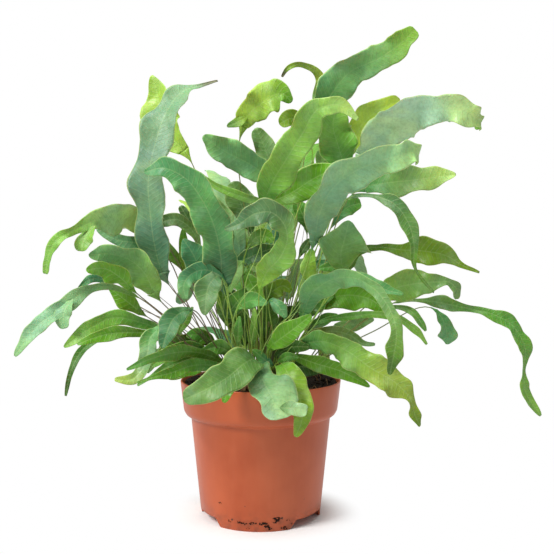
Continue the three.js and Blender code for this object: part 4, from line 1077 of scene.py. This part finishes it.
def build_pot(material):
    angles = pot_angles()
    columns = [pot_profile(ring_low(angle)) for angle in angles]
    rows = len(columns[0])
    points = [(*polar(column[i][0], math.radians(angle)), column[i][1])
              for i in range(rows) for angle, column in zip(angles, columns)]
    pot = mesh_object("fine_pot", points, tube_faces(rows, len(angles)), material)
    cutter = drain_cutter(material)
    cut = pot.modifiers.new("drains", "BOOLEAN")
    cut.operation = "DIFFERENCE"
    cut.solver = "EXACT"
    cut.object = cutter
    whole = bpy.data.meshes.new_from_object(pot.evaluated_get(bpy.context.evaluated_depsgraph_get()))
    pot.modifiers.clear()
    pot.data = whole
    bpy.data.objects.remove(cutter)
    whole.shade_smooth()
    whole.set_sharp_from_angle(angle=POT_SHARP)
    return pot


# Soil
def crumb(work, centre, size, tint, draw):
    """A lump of soil."""
    points = ICO_POINTS / np.linalg.norm(ICO_POINTS[0])
    points = points * np.array([[pick(draw, *LUMP_CORNERS)] for _ in points])
    stretch = np.array([pick(draw, *LUMP_WIDTHS), pick(draw, *LUMP_WIDTHS), pick(draw, *LUMP_HEIGHTS)])
    work.add(np.asarray(centre) + points * stretch * size, ICO_FACES, linear(tint))


def soil_height(x, y):
    """Height of the soil's lumpy top, which is banked up at the wall and heaped behind the crown."""
    radius = math.hypot(x, y)
    slope = (SOIL_TOP_Z - SOIL_EDGE_Z) * smooth((SLOPE_END - radius) / SLOPE_WIDE)
    slope += SOIL_BANK * smooth((radius - BANK_START) / BANK_WIDE)
    behind = smooth((y + HEAP_SIDE * abs(x) - HEAP_FRONT) / HEAP_BLEND)
    slope += SOIL_HEAP * smooth((radius - HEAP_START) / HEAP_WIDE) * behind
    lumps = sum(high * noise.noise(Vector((x, y, z)) * scale) for high, z, scale in SOIL_LUMPS)
    return SOIL_EDGE_Z + slope + lumps * smooth((LUMPS_END - radius) / LUMPS_FADE)


def soil_body(work, edge, edge_z):
    """The closed body of soil inside the wall, with its lumpy top."""
    inner = WALL + GAP
    floor_top = FLOOR_Z + inner
    low = [(0.3, floor_top), (BASE_RADIUS - inner + TAPER * floor_top, floor_top),
           (STEP_RADIUS - inner, STEP_Z - GAP), (RIM_FOOT_RADIUS - inner, RIM_FOOT_Z), (edge, edge_z)]
    angles = turns(SOIL_SPOKES)
    points = [(*polar(radius, a), z) for radius, z in low for a in angles]
    for ring in range(1, SOIL_RINGS + 1):
        spots = [polar(edge * (1 - ring / (SOIL_RINGS + 0.5)), a) for a in angles]
        points += [(x, y, soil_height(x, y)) for x, y in spots]
    work.add(points, tube_faces(len(low) + SOIL_RINGS, SOIL_SPOKES), linear(SOIL_TINT))


def build_soil(material, draw):
    work = Patchwork()
    edge_z = SOIL_EDGE_Z + SOIL_BANK
    edge = RIM_FOOT_RADIUS - (WALL + GAP) + RIM_TAPER * (edge_z - RIM_FOOT_Z)
    soil_body(work, edge, edge_z)
    for _ in range(CRUMBS):
        radius = (edge - CRUMB_CLEAR) * next(draw) ** 0.5
        x, y = polar(radius, 2 * math.pi * next(draw))
        size = CRUMB_LEAST + CRUMB_MORE * next(draw) ** 2
        tint = pick(draw, *CRUMB_TINTS)
        crumb(work, (x, y, soil_height(x, y) + 0.25 * size), size, tint, draw)
    for x, y, turn, long, high in ROOTS:
        across, back = polar(1, math.radians(turn))
        base = soil_height(x, y)
        spots = [(x + across * long * s, y + back * long * s, base + high * 4 * s * (1 - s) + drop * 0.6)
                 for s, drop in ((0, -1), (0.3, 0), (0.65, 0), (1, -1))]
        strand(work, spots, ROOT_RADIUS, ROOT_TINT)
    return work.build("fine_soil", material)


def build_spill(material, draw):
    """Crumbs that stick to the front of the pot's foot."""
    work = Patchwork()
    for across, z, size in SPILT:
        for _ in range(SPILL_CRUMBS):
            x = across + SPILL_WIDE * (next(draw) - 0.5)
            high = max(z + SPILL_HIGH * (next(draw) - 0.5), SPILL_LOWEST)
            y = -math.sqrt((BASE_RADIUS + TAPER * high) ** 2 - x ** 2)
            crumb(work, (x, y, high), size * pick(draw, *SPILL_SIZES), SPILL_TINT, draw)
    return work.build("spilt_soil", material)


# Rhizome
def crown_height(share, angle):
    knob = CROWN_KNOB * math.sin(9 * share + 2 * angle) * math.cos(5 * angle + 6 * share)
    return CROWN_HEIGHT * (1 - share ** 4) * (1 - CROWN_FALL * share) + knob * (1 - share)


def crown_point(share, angle):
    edge = CROWN_RADIUS + CROWN_LOBE * math.sin(CROWN_LOBES * angle + CROWN_TURN)
    x, y = polar(edge * share ** CROWN_SHAPE, angle)
    lump = CROWN_LUMP * noise.noise(Vector((x, y, 5)) * 0.3) * (1 - share)
    return np.array([x, y, SOIL_TOP_Z + GAP + max(crown_height(share, angle) + lump, 0)])


def crown_scale(work, draw):
    """A pointed scale that stands off the crown."""
    share = SCALES_END * next(draw) ** 0.6
    angle = 2 * math.pi * next(draw)
    root = crown_point(share, angle)
    turn = angle + SCALE_TURN * (next(draw) - 0.5)
    long = pick(draw, *SCALE_LENGTHS)
    wide = pick(draw, *SCALE_WIDTHS)
    rise = pick(draw, *SCALE_RISES)
    way = np.array([*polar(1, turn), rise])
    side = np.array([-math.sin(turn), math.cos(turn), 0]) * wide
    up = UP * SCALE_THICK
    root[2] -= SCALE_SUNK
    middle = root + way * long * 0.5
    spots = [root - side, root + side, root + up * 1.5, middle - side * 1.3, middle + side * 1.3,
             middle + up * 2, root + way * long]
    work.add(spots, SCALE_FACES, linear(pick(draw, *SCALE_TINTS)))


def build_rhizome(material, draw):
    """The knobbly crown, flat below, with scales all over."""
    work = Patchwork()
    points = [crown_point(1 - ring / (CROWN_RINGS + 0.4), angle)
              for ring in range(CROWN_RINGS + 1) for angle in turns(CROWN_SPOKES)]
    for point in points[:CROWN_SPOKES]:
        point[2] = SOIL_TOP_Z + GAP
    work.add(points, tube_faces(CROWN_RINGS + 1, CROWN_SPOKES), linear(CROWN_TINT))
    for _ in range(SCALES):
        crown_scale(work, draw)
    return work.build("fine_rhizome", material)


# Materials
class Nodes:
    """Short calls for a material's nodes."""

    def __init__(self, name):
        self.material = bpy.data.materials.new(name)
        self.material.use_nodes = True
        self.tree = self.material.node_tree
        self.shader = self.tree.nodes["Principled BSDF"]
        self.place = self.new("ShaderNodeTexCoord").outputs["Object"]

    def new(self, kind, inputs=None, **settings):
        node = self.tree.nodes.new(kind)
        for key, value in settings.items():
            setattr(node, key, value)
        for key, value in (inputs or {}).items():
            self.put(node.inputs[key], value)
        return node

    def put(self, socket, value):
        if isinstance(value, bpy.types.NodeSocket):
            self.tree.links.new(value, socket)
        else:
            socket.default_value = value

    def read(self, name, output):
        """A vertex attribute."""
        return self.new("ShaderNodeAttribute", attribute_name=name).outputs[output]

    def math(self, operation, a, b=0.0, c=0.0):
        return self.new("ShaderNodeMath", {0: a, 1: b, 2: c}, operation=operation).outputs[0]

    def times(self, a, b):
        return self.math("MULTIPLY", a, b)

    def times_plus(self, a, b, c):
        return self.math("MULTIPLY_ADD", a, b, c)

    def mix(self, share, a, b, how="MIX"):
        node = self.new("ShaderNodeMix", data_type="RGBA", blend_type=how)
        self.put(node.inputs["Factor"], share)
        self.put(node.inputs["A"], a)
        self.put(node.inputs["B"], b)
        return node.outputs["Result"]

    def layers(self, color, rows):
        """Lays tints over a colour. Each row: where, how strongly, the tint, and MULTIPLY for a factor."""
        for where, strength, tint, *how in rows:
            color = self.mix(self.times(where, strength), color, tint, *how)
        return color

    def between(self, value, low, high, to_low=0.0, to_high=1.0):
        sockets = {"Value": value, "From Min": low, "From Max": high, "To Min": to_low, "To Max": to_high}
        return self.new("ShaderNodeMapRange", sockets, interpolation_type="SMOOTHSTEP").outputs["Result"]

    def fading(self, value, low, high):
        return self.between(value, low, high, 1.0, 0.0)

    def noise(self, scale, detail=3.0, roughness=0.55, squeeze=None):
        """Noise in space. Squeezed below 1, it is drawn out in height."""
        vector = self.place
        if squeeze:
            sockets = {"Vector": vector, "Scale": (1.0, 1.0, squeeze)}
            vector = self.new("ShaderNodeMapping", sockets).outputs["Vector"]
        sockets = {"Vector": vector, "Scale": scale, "Detail": detail, "Roughness": roughness}
        return self.new("ShaderNodeTexNoise", sockets).outputs["Fac"]

    def cells(self, vector, scale, **settings):
        sockets = {"Vector": vector, "Scale": scale}
        return self.new("ShaderNodeTexVoronoi", sockets, **settings).outputs["Distance"]

    def finish(self, color, roughness, height=None, depth=0.0, **constants):
        self.put(self.shader.inputs["Base Color"], color)
        self.put(self.shader.inputs["Roughness"], roughness)
        for key, value in constants.items():
            self.shader.inputs[key.replace("_", " ")].default_value = value
        if height is not None:
            bump = self.new("ShaderNodeBump", {"Height": height, "Distance": depth, "Strength": 1.0})
            self.put(self.shader.inputs["Normal"], bump.outputs["Normal"])
        return self.material


def leaf_material():
    """Blade: rib, side veins and their net from the leaf's own lines, a mottled bloom and a yellow margin."""
    n = Nodes("leaf")
    tint = n.read("tint", "Color")
    lines = n.read("leaf", "Vector")
    out, length, share = n.new("ShaderNodeSeparateXYZ", {0: lines}).outputs
    away = n.math("ABSOLUTE", out)
    slanted = n.times_plus(away, -VEIN_SLANT, length)
    vein_line = n.times_plus(n.noise(110.0, 2.0), VEIN_DRIFT, slanted)
    vein = n.between(n.math("SINE", n.times(vein_line, 2 * math.pi / VEIN_SPACING)), 0.75, 1.0)
    net = n.fading(n.cells(lines, NET_SCALE, feature="DISTANCE_TO_EDGE", voronoi_dimensions="2D"), 0.0, 0.2)
    patches = n.between(n.noise(48.0, 4.0, 0.6), 0.36, 0.64)
    bloom = n.noise(75.0, 3.0, 0.5)
    cloud = n.noise(105.0, 2.0, 0.5)
    mottle = n.noise(460.0, 3.0, 0.6)
    color = n.mix(0.7, tint, n.mix(patches, LEAF_COOL, LEAF_WARM), "MULTIPLY")
    color = n.layers(color, [
        (n.between(cloud, 0.34, 0.66), 0.26, LEAF_SHADED, "MULTIPLY"),
        (n.between(bloom, 0.5, 0.72), 0.1, rgba(186, 214, 186)),
        (n.between(mottle, 0.4, 0.68), 0.24, rgba(150, 170, 140), "MULTIPLY"),
        (net, 0.04, rgba(50, 80, 40)),
        (vein, 0.1, rgba(176, 200, 140)),
        (n.fading(away, 0.2, 0.6), 0.144, rgba(186, 206, 140)),
        (n.between(n.math("ABSOLUTE", share), 0.93, 1.0), 0.62, rgba(184, 204, 122)),
        (n.fading(share, -0.02, 0.02), 0.4, LEAF_UNDERSIDE, "MULTIPLY")])
    height = n.times_plus(vein, -0.3, n.times(net, -0.03))
    height = n.times_plus(cloud, 2.2, n.times_plus(mottle, 0.05, height))
    roughness = n.between(bloom, 0.3, 0.7, 0.36, 0.56)
    return n.finish(color, roughness, height, 0.0004, Subsurface_Weight=0.1, Subsurface_Scale=0.002,
                    Sheen_Weight=0.04, Sheen_Roughness=0.5, Specular_IOR_Level=0.36)


def pot_material():
    """Moulded plastic: faint flow marks, patchy darkening towards the foot and small specks of soil."""
    n = Nodes("pot")
    high = n.new("ShaderNodeSeparateXYZ", {0: n.place}).outputs["Z"]
    flow = n.noise(60.0, 4.0, squeeze=0.18)
    ragged = n.times_plus(n.noise(600.0), -0.14, n.cells(n.place, 85.0))
    often = n.math("MAXIMUM", n.between(n.noise(34.0, 2.0), 0.6, 0.72), n.fading(high, 0.012, 0.03))
    specks = n.times(n.fading(ragged, -0.01, 0.02), often)
    # Darker in patches towards the foot, fading out 20 mm above the floor.
    foot_darkening = n.times(n.fading(high, 0.0, 0.02), n.between(n.noise(160.0, 5.0), 0.4, 0.7))
    color = n.layers(rgba(170, 76, 38), [
        (n.between(n.noise(22.0), 0.3, 0.7), 1.0, rgba(186, 90, 50)),
        (n.between(flow, 0.35, 0.75), 0.3, rgba(196, 108, 74)),
        (foot_darkening, 0.55, rgba(112, 64, 44)),
        (specks, 0.85, rgba(58, 38, 28))])
    height = n.times_plus(n.noise(900.0, 2.0), 0.3, n.times_plus(flow, 0.5, specks))
    return n.finish(color, n.between(flow, 0.3, 0.7, 0.36, 0.5), height, 0.00012, Specular_IOR_Level=0.36,
                    Subsurface_Weight=0.05, Subsurface_Scale=0.002)


def soil_material():
    """Damp peat: near black, crumbly, with brown fibres, and painted shade in the hollows between its lumps.
    """
    n = Nodes("soil")
    lumps = n.noise(700.0, 6.0, 0.7)
    fibre = n.cells(n.place, 500.0)
    # Painted shade: where the lumps' relief is low, the colour is darkened.
    color = n.layers(n.read("tint", "Color"), [
        (n.fading(lumps, 0.35, 0.7), 1.0, (0.45, 0.42, 0.4, 1.0), "MULTIPLY"),
        (n.fading(fibre, 0.1, 0.25), 0.25, rgba(120, 86, 56))])
    height = n.times_plus(lumps, 1.0, n.times(fibre, 0.5))
    return n.finish(color, 0.92, height, 0.0009, Specular_IOR_Level=0.2)


def rhizome_material():
    """Woody crown with golden-brown scales, and painted shade in the grooves of its fibrous relief."""
    n = Nodes("rhizome")
    fur = n.noise(900.0, 5.0, squeeze=0.25)
    # Painted shade: where the fibrous relief is low, the colour is darkened.
    color = n.layers(n.read("tint", "Color"), [
        (n.fading(fur, 0.3, 0.7), 1.0, (0.4, 0.36, 0.34, 1.0), "MULTIPLY"),
        (n.between(n.noise(130.0), 0.5, 0.7), 0.5, rgba(96, 104, 52))])
    return n.finish(color, 0.78, fur, 0.0005, Specular_IOR_Level=0.3)


# Camera and light
def area_light(name, place, size, power, color=(1, 1, 1)):
    data = bpy.data.lights.new(name, "AREA")
    data.shape = "DISK"
    data.size = size
    data.energy = power
    data.color = color
    light = bpy.data.objects.new(name, data)
    light.location = place
    light.rotation_euler = (LIGHT_TARGET - Vector(place)).to_track_quat("-Z", "Y").to_euler()
    bpy.context.scene.collection.objects.link(light)


def build_world():
    """White behind everything, with a softer light of its own on the plant."""
    world = bpy.data.worlds.new("studio")
    world.use_nodes = True
    tree = world.node_tree
    back = tree.nodes["Background"]
    back.inputs["Color"].default_value = (1, 1, 1, 1)
    seen = tree.nodes.new("ShaderNodeLightPath")
    strength = tree.nodes.new("ShaderNodeMapRange")
    strength.inputs["To Min"].default_value = WORLD_LIGHT
    strength.inputs["To Max"].default_value = 1.0
    tree.links.new(seen.outputs["Is Camera Ray"], strength.inputs["Value"])
    tree.links.new(strength.outputs["Result"], back.inputs["Strength"])
    bpy.context.scene.world = world


def build_floor():
    """Pale floor that glows white away from the pot."""
    bpy.ops.mesh.primitive_circle_add(vertices=96, radius=FLOOR_RADIUS, fill_type="NGON")
    floor = bpy.context.object
    floor.name = "floor"
    n = Nodes("floor")
    far = n.new("ShaderNodeVectorMath", {0: n.place}, operation="LENGTH").outputs["Value"]
    glow = n.new("ShaderNodeEmission", {"Color": (1, 1, 1, 1), "Strength": 1.0}).outputs[0]
    n.finish(rgba(252, 252, 253), 0.9)
    both = n.new("ShaderNodeMixShader", {0: n.between(far, *GLOW_FROM_TO), 1: n.shader.outputs[0], 2: glow})
    n.put(n.tree.nodes["Material Output"].inputs["Surface"], both.outputs[0])
    n.material.cycles.emission_sampling = "NONE"
    floor.data.materials.append(n.material)


def stage():
    scene = bpy.context.scene
    camera_data = bpy.data.cameras.new("camera")
    camera_data.sensor_width = 36
    camera_data.lens = 36 * FOCAL_PIXELS / PICTURE
    camera_data.clip_start = 0.01
    camera = bpy.data.objects.new("camera", camera_data)
    camera.location = [value * MM for value in EYE]
    camera.rotation_euler = (math.radians(90) + PITCH, 0, 0)
    scene.collection.objects.link(camera)
    scene.camera = camera
    scene.view_settings.view_transform = "Standard"
    build_world()
    area_light("key", (-1.15, -0.85, 1.35), 0.7, KEY_WATTS, (1.0, 0.985, 0.96))
    area_light("top", (0.0, -0.15, 1.6), 1.1, TOP_WATTS)
    build_floor()


def dress(piece, slot, *nodes):
    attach(piece, "root")
    if nodes:
        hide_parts(*nodes)


def main():
    draw = seeded(SEED)
    fine = seeded(SEED + 4)
    leaf = leaf_material()
    for name, node in FRONDS.items():
        piece = front_tuft(node, next(draw) * 2, fine).build("fine_" + name, leaf)
        dress(piece, "frond_" + node["slot"], "frond_" + name)
    for i, back in enumerate(BACK_TUFTS):
        piece = back_tuft(back, next(draw) * 2, fine).build(f"fine_back_{i + 1}", leaf)
        dress(piece, "frond_" + back["slot"], f"frond_back_{i + 1}")
    dress(young_leaves(fine).build("young_leaves", leaf), "frond_green")
    dress(young_shoots(fine).build("young_shoots", leaf), "frond_olive")
    soil = soil_material()
    dress(build_pot(pot_material()), "pot", "pot")
    dress(build_soil(soil, seeded(SEED + 1)), "soil", "soil")
    dress(build_rhizome(rhizome_material(), seeded(SEED + 2)), "rhizome", "rhizome")
    dress(build_spill(soil, seeded(SEED + 3)), "soil")
    stage()


main()
